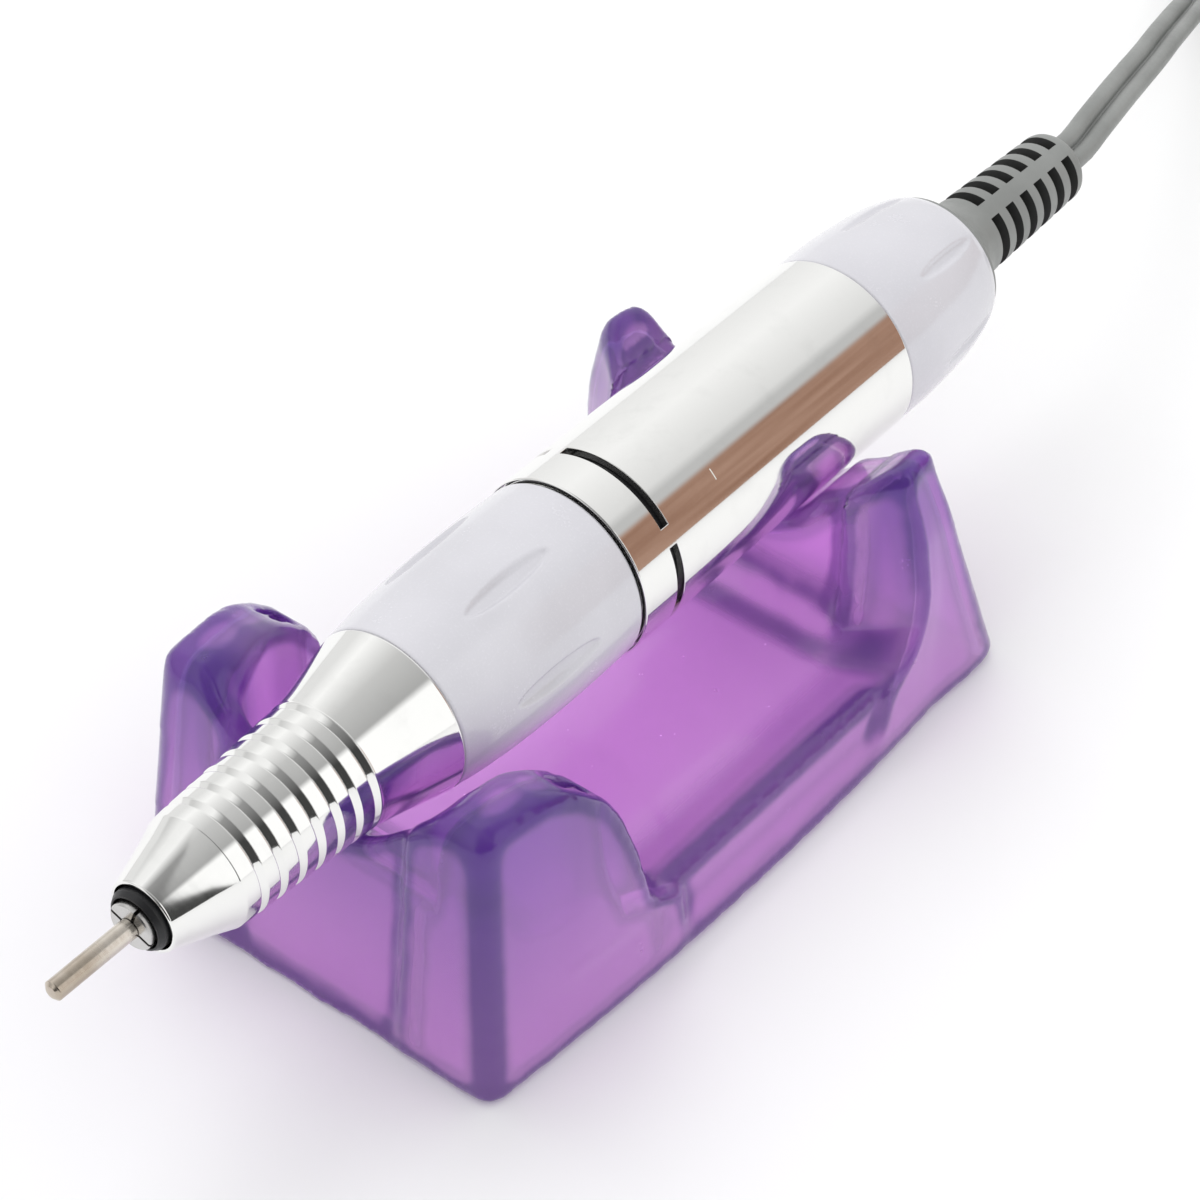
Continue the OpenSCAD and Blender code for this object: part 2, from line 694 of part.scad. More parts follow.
// Straight slot that lets a guide pin slide while the housing keeps it from turning
module pin_slot()
{
    for (s = [pin_s, pin_s - collet_travel]) translate([0, 0, s]) rotate([0, 90, 0])
        cylinder(h = barrel_r + 2, r = pin_r + free_gap);
    translate([0, -pin_r - free_gap, pin_s - collet_travel])
        cube([barrel_r + 2, 2 * (pin_r + free_gap), collet_travel]);
}

module bearing_spacer()
{
    color([0.82, 0.82, 0.84]) on_axis()
        tube(front_bearing_s + bearing_w, rear_bearing_s, bearing_r, bearing_r - 0.8);
}

module bearing_nut()
{
    color([0.6, 0.61, 0.64]) on_axis() difference() {
        tube(nut_s1 - nut_w, nut_s1, bearing_r, spindle_r + 0.6);
        translate([-bearing_r, -0.5, nut_s1 - 0.8]) cube([2 * bearing_r, 1, 1]);
    }
}

module joint_washer()
{
    color([0.05, 0.05, 0.05]) on_axis() tube(grip_s1 + 0.1, flange_s0, tube_ri, barrel_r);
}

// ---- twist section ----
module front_grip()
{
    inner_r = cam_r;
    color([0.88, 0.87, 0.91]) on_axis() difference() {
        turned(grip_line);
        translate([0, 0, grip_s0 - 1]) cylinder(h = grip_l + 2, r = inner_r);
    }
}

module nose()
{
    color([0.88, 0.88, 0.89]) on_axis() difference() {
        union() {
            turned(nose_line);
            translate([0, 0, nose_s1 - 1]) cylinder(h = cam_s0 - nose_s1 + 1, r = cam_r);
        }
        translate([0, 0, nose_s0 - 1]) cylinder(h = nose_l, r = tip_bore_r);
        translate([0, 0, bore_s0]) cylinder(h = nose_l, r = nose_bore_r);
        translate([0, 0, barrel_s0 - 1 - free_gap]) cylinder(h = nose_l, r = barrel_r + run_fit);
        for (k = [0 : groove_n - 1]) finger_groove(groove_s0 + k * groove_pitch);
    }
}

// A groove with a steep front wall and a sloping rear one
module finger_groove(s)
{
    top = lookup(s + groove_w, nose_line) + 0.01;
    low = top - groove_depth;
    rotate_extrude() polygon([[low, s + 0.15], [low, s + 0.3], [top, s + groove_w],
        [top + 2, s + groove_w], [top + 2, s], [top - 0.1, s]]);
}

module cam_sleeve()
{
    color([0.8, 0.68, 0.38]) on_axis() difference() {
        tube(cam_s0, grip_s1 - 1.2, cam_r, barrel_r + run_fit);
        for (a = [0, 180]) rotate([0, 0, a]) cam_slot();
    }
}

// A slanting slot, cut as short level steps, that drives a guide pin forward
module cam_slot()
{
    steps = 8;
    step = twist_angle / steps;
    half = pin_r + free_gap;
    spread = asin(half / barrel_r);
    for (k = [0 : steps]) {
        from = k == steps ? -twist_angle - spread : -step * (k + 0.55);
        upto = k == 0 ? spread : -step * (k - 0.55);
        rotate([0, 0, from]) rotate_extrude(angle = upto - from)
            translate([barrel_r - 1, pin_s - collet_travel * k / steps - half])
                square([cam_r - barrel_r + 2, 2 * half]);
    }
}

// ---- chuck release ----
module pusher()
{
    color([0.7, 0.6, 0.35]) on_axis() tube(pusher_s0, pusher_s0 + pusher_w, barrel_ri - 0.1, 2.9);
}

module guide_pins()
{
    color([0.6, 0.6, 0.62]) on_axis() for (a = [0, 180]) rotate([0, 0, a])
        translate([barrel_ri - 0.2, 0, pin_s]) rotate([0, 90, 0])
            cylinder(h = cam_r - 0.4 - barrel_ri, r = pin_r);
}

// ---- rotor ----
module spindle()
{
    color([0.66, 0.67, 0.7]) on_axis() difference() {
        translate([0, 0, spindle_s0]) cylinder(h = spindle_s1 - spindle_s0, r = spindle_r);
        translate([0, 0, spindle_s0 - 1]) cylinder(h = spindle_s1 - spindle_s0 + 2, r = bar_r + run_fit);
        translate([0, 0, spindle_s0 - tiny]) cylinder(h = cone_s1 - spindle_s0,
            r1 = spindle_r - 0.3, r2 = bar_r + run_fit);
    }
}

module spindle_collar()
{
    s0 = nose_s0 - 1.1;
    color([0.05, 0.05, 0.05]) on_axis() difference() {
        turned([[s0, collar_r - 0.35], [s0 + 0.55, collar_r], [shoulder_s - 1.7, collar_r]]);
        translate([0, 0, spindle_s0]) cylinder(h = 20, r = spindle_r);
        translate([0, 0, s0 - 1]) cylinder(h = 8, r = spindle_r + 0.1);
    }
}

module motor_shaft()
{
    color([0.8, 0.8, 0.82]) on_axis() translate([0, 0, shaft_s0])
        cylinder(h = bell_s1 - 1.4 - shaft_s0, r = shaft_r);
}

module armature_core()
{
    color([0.35, 0.35, 0.38]) on_axis() difference() {
        tube(core_s0, core_s1, armature_r, shaft_r);
        for (k = [0 : 4]) rotate([0, 0, k * 72]) {
            translate([winding_at, 0, core_s0 - 1]) cylinder(h = core_s1 - core_s0 + 2, r = winding_r);
            translate([winding_at, -0.35, core_s0 - 1]) cube([armature_r, 0.7, core_s1 - core_s0 + 2]);
        }
    }
}

module windings()
{
    head = winding_r + 0.15;
    color([0.72, 0.4, 0.2]) on_axis() {
        for (s = [core_s0 - 2, core_s1 + 0.1])
            tube(s, s + 1.9, winding_at + head, winding_at - head);
        for (k = [0 : 4]) rotate([0, 0, k * 72]) translate([winding_at, 0, core_s0 - 1])
            cylinder(h = core_s1 - core_s0 + 2, r = winding_r - run_fit);
    }
}

module commutator()
{
    color([0.75, 0.45, 0.25]) on_axis() difference() {
        tube(can_s1 + 1.5, can_s1 + 5.6, commutator_r, shaft_r);
        for (k = [0 : 4]) rotate([0, 0, k * 72 + 36]) translate([commutator_r - 0.5, -0.15, can_s1])
            cube([2, 0.3, 8]);
    }
}

module motor_coupling()
{
    body_s0 = pusher_s0 + pusher_w + 0.9;
    color([0.3, 0.3, 0.32]) on_axis() difference() {
        union() {
            translate([0, 0, body_s0]) cylinder(h = 5.5, r = 3.2);
            translate([-blade_half, -blade_t / 2, coupling_s1 - 1.6])
                cube([2 * blade_half, blade_t, body_s0 - coupling_s1 + 2]);
        }
        translate([0, 0, shaft_s0]) cylinder(h = 20, r = shaft_r);
    }
}

// Drawn as short as it gets when the chuck is open
module chuck_spring()
{
    color([0.75, 0.76, 0.78]) on_axis() translate([0, 0, spindle_s1])
        coil_spring(bar_r + 0.75, 0.35, coupling_s0 - collet_travel - spindle_s1 - run_fit, 3);
}

// ---- collet and what moves with it ----
module collet()
{
    slit = 0.4;
    cone_r = spindle_r - 0.3 - 0.08;
    color([0.82, 0.82, 0.8]) on_axis() difference() {
        turned([[collet_s0, spindle_r - 0.35], [collet_s0 + 0.15, spindle_r - 0.2],
            [spindle_s0 - 0.3, spindle_r - 0.2], [spindle_s0 - 0.3, cone_r],
            [spindle_s0, cone_r], [cone_s1 - 0.1, bar_r], [collet_s1, bar_r]]);
        translate([0, 0, collet_s0 - 1]) cylinder(h = 40, r = shank_r + 0.02);
        for (a = [20, 110]) rotate([0, 0, a]) translate([-5, -slit / 2, collet_s0 - 1])
            cube([10, slit, 14]);
    }
}

module drawbar()
{
    color([0.7, 0.7, 0.73]) on_axis() tube(collet_s1, coupling_s0, bar_r, bar_ri);
}

module spindle_coupling()
{
    slot = blade_t + 2 * free_gap;
    color([0.3, 0.3, 0.32]) on_axis() difference() {
        translate([0, 0, coupling_s0]) cylinder(h = coupling_w, r = 4);
        translate([-5, -slot / 2, coupling_s1 - 2.4]) cube([10, slot, 4]);
    }
}

// A ring groove at the collet's mouth marks how deep the shank goes in
module shank()
{
    s0 = collet_s0 - shank_out;
    s1 = collet_s0 + shank_in;
    mark_s = collet_s0 - 0.05;
    mark_r = shank_r - 0.2;
    color([0.78, 0.76, 0.72]) on_axis()
        turned([[s0, shank_r - 0.45], [s0 + 0.35, shank_r], [mark_s, shank_r], [mark_s, mark_r],
            [mark_s + 0.7, mark_r], [mark_s + 0.7, shank_r], [s1 - 0.3, shank_r],
            [s1, shank_r - 0.3]]);
}

// ---- lead ----
module lead()
{
    color([0.52, 0.53, 0.53]) swept(lead_points, lead_w / 2, lead_t / 2, 10);
}

module lead_coil()
{
    round_r = 1.2;
    color([0.52, 0.53, 0.53]) translate([coil_centre[0], coil_centre[1], 0]) rotate_extrude()
        polygon(concat(arc([coil_out_r - round_r, coil_h - round_r], round_r, 0, 90, 3),
            arc([coil_in_r + round_r, coil_h - round_r], round_r, 90, 180, 3),
            [[coil_in_r, 0], [coil_out_r, 0]]));
}

// A flat strap round the coil's bundle, on the side away from the plug
module coil_tie()
{
    w = 5;
    t = 0.8;
    color([0.1, 0.1, 0.1]) translate([coil_centre[0], coil_centre[1] + coil_mean_r, 0])
        translate([-w / 2, 0, 0]) difference() {
            translate([0, coil_in_r - coil_mean_r - t, 0])
                cube([w, coil_out_r - coil_in_r + 2 * t, coil_h + t]);
            translate([-1, coil_in_r - coil_mean_r + 0.02, -1])
                cube([w + 2, coil_out_r - coil_in_r - 0.04, coil_h + 1]);
        }
}

module lead_tail()
{
    color([0.52, 0.53, 0.53]) swept(tail_points, lead_w / 2, lead_t / 2, 10);
}

// The plug lies beside the coil with its contact towards the cradle
module on_plug() { translate(tail_points[3]) rotate([90, 0, 0]) children(); }

module plug_boot()
{
    color([0.12, 0.12, 0.13]) on_plug()
        turned([[0, lead_w / 2 + 0.4], [boot_taper - 1, boot_r - 1], [boot_taper, boot_r],
            [boot_taper + boot_l - 1, boot_r], [boot_taper + boot_l, boot_r - 0.8]]);
}

module plug_contact()
{
    r = jack_d / 2;
    s0 = boot_taper + boot_l;
    color([0.85, 0.83, 0.75]) on_plug() difference() {
        turned([[s0, r + 1], [s0 + 1, r + 1], [s0 + 1, r], [s0 + jack_l - 3, r],
            [s0 + jack_l - 2.2, r - 0.55], [s0 + jack_l - 1.5, r - 0.15],
            [s0 + jack_l, 0.4]]);
        translate([0, 0, ring_s]) difference() {
            cylinder(h = 0.8, r = r + 1);
            translate([0, 0, -1]) cylinder(h = 3, r = r - 0.4);
        }
    }
}

module plug_insulators()
{
    color([0.05, 0.05, 0.05]) on_plug() tube(ring_s, ring_s + 0.8, jack_d / 2, jack_d / 2 - 0.4);
}

stand();
body_tube();
inner_liner();
rear_cap();
strain_relief();
lead_end();
motor_can();
magnets();
end_bell();
brush_tubes();
brushes();
brush_springs();
terminals();
lead_wires();
motor_mount();
mount_screws();
motor_front_bearing();
motor_rear_bearing();
spindle_housing();
front_bearing();
rear_bearing();
bearing_spacer();
bearing_nut();
joint_washer();
front_grip();
nose();
cam_sleeve();
pusher();
guide_pins();
spindle();
spindle_collar();
motor_shaft();
armature_core();
windings();
commutator();
motor_coupling();
chuck_spring();
collet();
drawbar();
spindle_coupling();
shank();
lead();
lead_coil();
coil_tie();
lead_tail();
plug_boot();
plug_contact();
plug_insulators();
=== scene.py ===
import bmesh
import bpy
import json
import math
from mathutils import Euler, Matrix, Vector
from mathutils.bvhtree import BVHTree
from mathutils.kdtree import KDTree


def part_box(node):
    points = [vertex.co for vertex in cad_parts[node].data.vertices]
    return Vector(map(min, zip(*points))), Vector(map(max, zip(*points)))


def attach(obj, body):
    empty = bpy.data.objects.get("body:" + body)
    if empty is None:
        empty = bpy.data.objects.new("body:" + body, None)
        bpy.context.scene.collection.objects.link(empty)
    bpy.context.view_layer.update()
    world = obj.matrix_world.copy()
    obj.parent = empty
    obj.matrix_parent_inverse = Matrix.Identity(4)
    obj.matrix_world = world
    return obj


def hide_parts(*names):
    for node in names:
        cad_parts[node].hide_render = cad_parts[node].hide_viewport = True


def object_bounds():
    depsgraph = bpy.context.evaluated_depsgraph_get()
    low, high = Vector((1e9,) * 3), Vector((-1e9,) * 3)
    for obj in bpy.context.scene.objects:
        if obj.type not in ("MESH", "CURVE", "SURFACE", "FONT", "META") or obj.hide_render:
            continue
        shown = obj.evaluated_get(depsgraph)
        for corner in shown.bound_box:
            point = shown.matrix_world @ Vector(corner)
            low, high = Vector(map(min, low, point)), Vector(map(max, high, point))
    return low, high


# Looks of an electric nail drill that lies in its see-through cradle: smooth turned
# shells over the frame's parts, the twin lead with its coil and plug, and a small studio.
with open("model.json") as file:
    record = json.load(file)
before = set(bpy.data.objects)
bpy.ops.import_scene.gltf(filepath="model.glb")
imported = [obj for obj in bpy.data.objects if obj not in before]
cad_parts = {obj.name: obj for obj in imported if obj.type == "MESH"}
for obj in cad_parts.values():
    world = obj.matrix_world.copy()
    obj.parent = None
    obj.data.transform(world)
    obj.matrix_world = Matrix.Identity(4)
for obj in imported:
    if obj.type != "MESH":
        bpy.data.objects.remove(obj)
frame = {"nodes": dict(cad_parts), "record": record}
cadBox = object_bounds()
scene = bpy.context.scene
mm = 0.001


def reach(node):
    low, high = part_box(node)
    return Vector(low), Vector(high)


# Stations are millimetres along the handpiece from the joint between grip and tube.
tubeLow, tubeHigh = reach("body_tube")
axisHeight = (tubeLow.z + tubeHigh.z) / 2
jointGap = 0.1
jointY = tubeLow.y - jointGap * mm
tubeEnd = (tubeHigh.y - jointY) / mm
tubeRadius = (tubeHigh.x - tubeLow.x) / 2 / mm
reliefEnd = (reach("strain_relief")[1].y - jointY) / mm
shankTip = (reach("shank")[0].y - jointY) / mm
colletFront = (reach("collet")[0].y - jointY) / mm
coilLow, coilHigh = reach("lead_coil")
plugLow, plugHigh = reach("plug_boot")


def onAxis(station, radius, angle):
    turn = math.radians(angle)
    return Vector((radius * mm * math.cos(turn), jointY + station * mm,
                   axisHeight + radius * mm * math.sin(turn)))


# The camera, and the photograph's pixels on which named points of the drill lie
photo = {"width": 1200, "height": 1200}
cameraValues = {"lens": 120.0, "sensorWidth": 36.0, "shiftX": 0.0, "shiftY": 0.0,
                "turn": 38.953, "tilt": 42.734, "place": (0.20564, -0.24809, 0.32548)}
imagePoints = {
    "left": (44, None), "right": (1083, None), "top": (None, 133), "bottom": (None, 1106),
    "shankTip": (53, 993), "noseJoint": (429, 669), "gripJoint": (620, 545),
    "capJoint": (879, 300), "cradleFrontCorner": (487, 1106), "cradleRearCorner": (993, 650),
    "gripDimple": (511, 579), "indexMark": (713, 474), "slotEnd": (667, 530),
}

cameraData = bpy.data.cameras.new("photoCamera")
camera = bpy.data.objects.new("photoCamera", cameraData)
scene.collection.objects.link(camera)
cameraData.sensor_width = cameraValues["sensorWidth"]
cameraData.lens = cameraValues["lens"]
cameraData.shift_x = cameraValues["shiftX"]
cameraData.shift_y = cameraValues["shiftY"]
cameraData.clip_start = 0.01
cameraData.clip_end = 20
camera.location = Vector(cameraValues["place"]) + Vector((0, jointY, 0))
camera.rotation_euler = (math.radians(90 - cameraValues["tilt"]), 0,
                         math.radians(cameraValues["turn"]))
scene.camera = camera
bpy.context.view_layer.update()


def rayThrough(x, y):
    side = max(photo["width"], photo["height"])
    ray = Vector((x - photo["width"] / 2 + cameraValues["shiftX"] * side,
                  photo["height"] / 2 - y + cameraValues["shiftY"] * side,
                  -side * cameraValues["lens"] / cameraValues["sensorWidth"]))
    return camera.matrix_world.to_translation(), (camera.matrix_world.to_3x3() @ ray).normalized()


# Where the ray through an image point meets a piece, or comes nearest to it
def placeOn(pointName, carrier):
    start, ray = rayThrough(*imagePoints[pointName])
    tree = BVHTree.FromObject(carrier, bpy.context.evaluated_depsgraph_get())
    spot = tree.ray_cast(start, ray)[0]
    if spot is None:
        depth = (tree.find_nearest(start)[0] - start).length
        tries = (tree.find_nearest(start + ray * depth * (0.8 + 0.01 * k)) for k in range(81))
        spot = min(tries, key=lambda found: found[3])[0]
    return spot


def angleOf(spot):
    return math.degrees(math.atan2(spot.z - axisHeight, spot.x))


# Where a point of the model shows in the photograph, in its pixels
def pixelOf(spot):
    seen = camera.matrix_world.inverted() @ spot
    side = max(photo["width"], photo["height"])
    scale = side * cameraValues["lens"] / cameraValues["sensorWidth"] / -seen.z
    return (seen.x * scale + photo["width"] / 2 - cameraValues["shiftX"] * side,
            photo["height"] / 2 - seen.y * scale + cameraValues["shiftY"] * side)


print("camera set")


# A shader socket that adds up like a number
class Signal:
    def __init__(self, tree, socket):
        self.tree = tree
        self.socket = socket

    def node(self, kind, settings=None, values=None, output=0):
        made = self.tree.nodes.new(kind)
        for key, value in (settings or {}).items():
            if key == "stops":
                ramp = made.color_ramp.elements
                while len(ramp) < len(value):
                    ramp.new(0.5)
                for stop, (place, shade) in zip(ramp, value):
                    stop.position = place
                    stop.color = (*shade, 1)
            else:
                setattr(made, key, value)
        for key, value in (values or {}).items():
            if isinstance(value, Signal):
                self.tree.links.new(value.socket, made.inputs[key])
            else:
                made.inputs[key].default_value = value
        return Signal(self.tree, made.outputs[output])

    def math(self, operation, first, second=0.0, clamp=False):
        return self.node("ShaderNodeMath", {"operation": operation, "use_clamp": clamp},
                         {0: first, 1: second})

    def __add__(self, other):
        return self.math("ADD", self, other)

    def __radd__(self, other):
        return self.math("ADD", other, self)

    def __sub__(self, other):
        return self.math("SUBTRACT", self, other)

    def __rsub__(self, other):
        return self.math("SUBTRACT", other, self)

    def __mul__(self, other):
        return self.math("MULTIPLY", self, other)

    def __rmul__(self, other):
        return self.math("MULTIPLY", other, self)

    def clamped(self):
        return self.math("ADD", self, 0.0, True)

    def part(self, name):
        split = self.node("ShaderNodeSeparateXYZ", values={0: self})
        return Signal(self.tree, split.socket.node.outputs[name])

    def spread(self, low, high):
        return self.node("ShaderNodeMapRange", {"interpolation_type": "SMOOTHSTEP"},
                         {"Value": self, "From Min": low, "From Max": high})

    def band(self, up, upTo, down, downTo):
        return self.spread(up, upTo) * (1 - self.spread(down, downTo))

    def noise(self, scale, detail=3.0, roughness=0.5, stretch=(1, 1, 1)):
        laid = self.node("ShaderNodeMapping", values={"Vector": self, "Scale": stretch})
        return self.node("ShaderNodeTexNoise", values={"Vector": laid, "Scale": scale,
                                                       "Detail": detail, "Roughness": roughness})


def mixColour(amount, first, second):
    return amount.node("ShaderNodeMix", {"data_type": "RGBA"}, {0: amount, 6: first, 7: second}, 2)


def rgba(code):
    parts = [int(code[k:k + 2], 16) / 255 for k in (1, 3, 5)]
    return (*[c / 12.92 if c <= 0.04045 else ((c + 0.055) / 1.055) ** 2.4 for c in parts], 1.0)


# A material starts from its fixed sockets; what varies is linked by the recipe that follows
def newFinish(name, **fixed):
    finish = bpy.data.materials.new(name)
    finish.use_nodes = True
    tree = finish.node_tree
    shader = tree.nodes["Principled BSDF"]
    for key, value in fixed.items():
        shader.inputs[key.replace("_", " ")].default_value = value
    place = tree.nodes.new("ShaderNodeTexCoord").outputs["Object"]
    return finish, shader, Signal(tree, place)


def feed(shader, **links):
    for key, value in links.items():
        value.tree.links.new(value.socket, shader.inputs[key.replace("_", " ")])


def bumpFrom(height, strength, distance):
    return height.node("ShaderNodeBump", values={"Height": height, "Strength": strength,
                                                 "Distance": distance})


# The smudges that every hard finish shares
def smudgeOn(place, scale=60.0, low=0.45, high=0.75):
    return place.noise(scale, 4.0, 0.6).spread(low, high)


# Each finish varies by noise laid over the piece, with scales per metre
def turnedMetal(name, tone, shade, rough=0.2, rings=900.0, wear=0.12):
    finish, shader, place = newFinish(name, Metallic=1.0, Specular_IOR_Level=0.5)
    hair = place.noise(rings, 2.0, 0.5, (0.02, 1.0, 0.02))
    cloud = place.noise(140.0, 4.0, 0.55)
    colour = mixColour(cloud.spread(0.35, 0.7), rgba(tone), rgba(shade))
    scuff = place.noise(420.0, 5.0, 0.7, (0.4, 1.2, 0.4)).spread(0.62, 0.72)
    feed(shader, Base_Color=mixColour(scuff * wear, colour, rgba(shade)),
         Roughness=(hair.spread(0.3, 0.7) * 0.1 + smudgeOn(place) * wear * 0.6 + rough).clamped(),
         Normal=bumpFrom(hair + scuff * -0.3, 0.06, 0.00002))
    return finish


def mouldedPlastic(name, tone, shade, rough=0.35, grain=1600.0, depth=0.12):
    finish, shader, place = newFinish(name)
    speck = place.noise(grain, 2.0, 0.6)
    cloud = place.noise(90.0, 4.0, 0.6)
    rub = place.noise(260.0, 5.0, 0.65).spread(0.6, 0.75)
    dulled = cloud.spread(0.3, 0.7) * 0.7 + rub * 0.3
    feed(shader, Base_Color=mixColour(dulled, rgba(tone), rgba(shade)),
         Roughness=(speck.spread(0.3, 0.7) * 0.08 + smudgeOn(place) * 0.1 + rough).clamped(),
         Normal=bumpFrom(speck, depth, 0.00003))
    return finish


def chromePlate():
    finish, shader, place = newFinish("chromePlate", Metallic=1.0)
    hair = place.noise(1500.0, 2.0, 0.5, (0.015, 1.0, 0.015))
    film = smudgeOn(place, 260.0, 0.5, 0.8)
    touch = place.noise(900.0, 3.0, 0.5).spread(0.55, 0.75)
    feed(shader, Base_Color=mixColour(film, rgba("#f0f0ee"), rgba("#ebebe9")),
         Roughness=hair * 0.03 + film * 0.012 + touch * film * 0.012 + 0.05,
         Normal=bumpFrom(hair, 0.03, 0.00001))
    return finish


def pearlShell():
    finish, shader, place = newFinish("pearlShell", Coat_Weight=0.5, Coat_Roughness=0.05,
                                      Specular_IOR_Level=0.5)
    flake = place.noise(3800.0, 1.0, 0.5).spread(0.5, 0.8)
    cloud = place.noise(55.0, 3.0, 0.5).spread(0.3, 0.7)
    base = mixColour(cloud, rgba("#d4d3d9"), rgba("#cccbd1"))
    handled = smudgeOn(place, 160.0, 0.55, 0.8)
    feed(shader, Base_Color=mixColour(flake * 0.2, base, rgba("#e6e5eb")),
         Roughness=flake * 0.06 + handled * 0.12 + 0.2,
         Normal=bumpFrom(place.noise(700.0, 2.0, 0.5), 0.03, 0.00003))
    return finish


# Frosted see-through plastic with light and shade painted into its colour: paler and pinker
# towards the table and darker towards the top as painted shade, painted edge shade where the
# wall turns, painted light that leaves the floor inside palest, and a faint painted glow.
# Its reaches are in the frame's metres.
cradleTonesAndPaintedLight = {"low": ("#dcaae2", "#d4a0dc"), "high": "#8a64b4", "topShadeHeight": 0.036,
              "floor": "#f4c9f8", "floorLightSide": (0.016, 0.0205), "floorLightFront": (-0.0445, -0.0395),
              "edge": "#5c3898", "edgeShadeShare": 0.66, "paintedGlow": "#c97cdc", "paintedEdgeGlow": "#3a2068"}


def cradlePlasticPaintedLight():
    v = cradleTonesAndPaintedLight
    finish, shader, place = newFinish("cradlePlasticPaintedLight", Transmission_Weight=0.7, IOR=1.35,
                                      Coat_Weight=0.5, Coat_Roughness=0.08,
                                      Emission_Strength=0.12)
    # Painted edge shade: the sharper the wall turns, the more the colour goes to the dark edge tone
    turn = place.node("ShaderNodeAttribute", {"attribute_name": "wallTurn"}, output=2)
    edge = turn.spread(0.2, 0.9)
    # Painted shade: the colour darkens from the table up to the top tone
    height = place.part("Z").spread(0.0, v["topShadeHeight"])
    flow = place.noise(38.0, 4.0, 0.55, (1.0, 0.5, 1.0)).spread(0.3, 0.7)
    rub = place.noise(320.0, 5.0, 0.7).spread(0.62, 0.74)
    # Painted light: the floor inside is paled where the handpiece's shade falls on it
    inside = 1 - place.math("ABSOLUTE", place.part("X")).spread(*v["floorLightSide"])
    inside = inside * place.part("Y").spread(*v["floorLightFront"])
    low = mixColour(flow, rgba(v["low"][0]), rgba(v["low"][1]))
    body = mixColour(inside, mixColour(height, low, rgba(v["high"])), rgba(v["floor"]))
    # The emission is a painted glow, as no lamp is in the cradle, and it dims where the wall turns
    feed(shader, Base_Color=mixColour(edge * v["edgeShadeShare"], body, rgba(v["edge"])),
         Roughness=rub * 0.08 + smudgeOn(place, 90.0) * 0.06 + 0.2,
         Emission_Color=mixColour(edge, rgba(v["paintedGlow"]), rgba(v["paintedEdgeGlow"])),
         Normal=bumpFrom(flow + rub * 0.05, 0.08, 0.0002))
    return finish


finishes = {
    "bright_chrome": chromePlate(),
    "pearl_white": pearlShell(),
    "cradle_plastic": cradlePlasticPaintedLight(),
    "grey_rubber": mouldedPlastic("greyRubber", "#8f918f", "#7f817f", 0.42, 1400.0, 0.15),
    # Painted shade: a dark grey for the shadow deep inside the strain relief's slots
    "relief_hollow": mouldedPlastic("reliefSlotShade", "#3b3c3b", "#2c2d2c", 0.6, 900.0, 0.2),
    "mark_paint": mouldedPlastic("markPaint", "#efece6", "#dedad2", 0.4, 900.0, 0.1),
    "black_plastic": mouldedPlastic("blackMoulding", "#17171a", "#0e0e10", 0.36),
    "plain_steel": turnedMetal("bearingSteel", "#c9c8c6", "#a9a8a8", 0.22),
    "shank_steel": turnedMetal("shankSteel", "#d9d2c8", "#b7ab9c", 0.16, 2600.0),
    "housing_alloy": turnedMetal("housingAlloy", "#cfd0d3", "#b4b6ba", 0.3),
    "ferrite": mouldedPlastic("magnetFerrite", "#2d2d31", "#1d1d20", 0.6, 900.0, 0.3),
    "carbon": mouldedPlastic("brushCarbon", "#1c1c1e", "#2b2a2c", 0.7, 1200.0, 0.4),
    "brass": turnedMetal("turnedBrass", "#d6b26a", "#b08a45", 0.24),
    "copper": turnedMetal("windingCopper", "#c97a4c", "#9a5431", 0.3, 500.0),
    "red_insulation": mouldedPlastic("wireRed", "#b02320", "#8d1715", 0.4, 900.0, 0.1),
    "jack_metal": turnedMetal("jackPlating", "#dccfae", "#b9a679", 0.14),
}
slotOf = {entry["node"]: entry["material_slot"] for entry in frame["record"]["subparts"]}
for node, thing in frame["nodes"].items():
    thing.data.materials.clear()
    thing.data.materials.append(finishes[slotOf[node]])
print("finishes made")


# Rounds each corner of a line, with a close row beside it so that the long spans stay even
def softCorners(line, cut, beside=0.05, share=0.36, straight=6):
    smooth = [line[0]]
    for before, corner, after in zip(line, line[1:], line[2:]):
        a, b, c = Vector(before), Vector(corner), Vector(after)
        into, out = b - a, c - b
        if min(into.length, out.length) < 1e-6 or into.angle(out) < math.radians(straight):
            smooth.append(corner)
            continue
        back, ahead = into.normalized(), out.normalized()
        near, far = min(cut, into.length * share), min(cut, out.length * share)
        smooth.append(tuple(b - back * (near + min(beside, into.length * 0.1))))
        for k in (0.0, 0.33, 0.67, 1.0):
            first, second = b - back * near * (1 - k), b + ahead * far * k
            smooth.append(tuple(first.lerp(second, k)))
        smooth.append(tuple(b + ahead * (far + min(beside, out.length * 0.1))))
    return smooth + [line[-1]]


# A curve through all the knots, in steps along the handpiece
def gentleCurve(knots, step):
    points = []
    for k in range(len(knots) - 1):
        p0, p1 = Vector(knots[max(k - 1, 0)]), Vector(knots[k])
        p2, p3 = Vector(knots[k + 1]), Vector(knots[min(k + 2, len(knots) - 1)])
        m1 = (p2 - p0) / max(p2.x - p0.x, 1e-9) * (p2.x - p1.x)
        m2 = (p3 - p1) / max(p3.x - p1.x, 1e-9) * (p2.x - p1.x)
        count = max(1, round((p2.x - p1.x) / step))
        for n in range(count):
            t = n / count
            spot = (p1 * (2 * t ** 3 - 3 * t ** 2 + 1) + m1 * (t ** 3 - 2 * t ** 2 + t)
                    + p2 * (3 * t ** 2 - 2 * t ** 3) + m2 * (t ** 3 - t ** 2))
            points.append((spot.x, spot.y))
    return points + [tuple(knots[-1])]


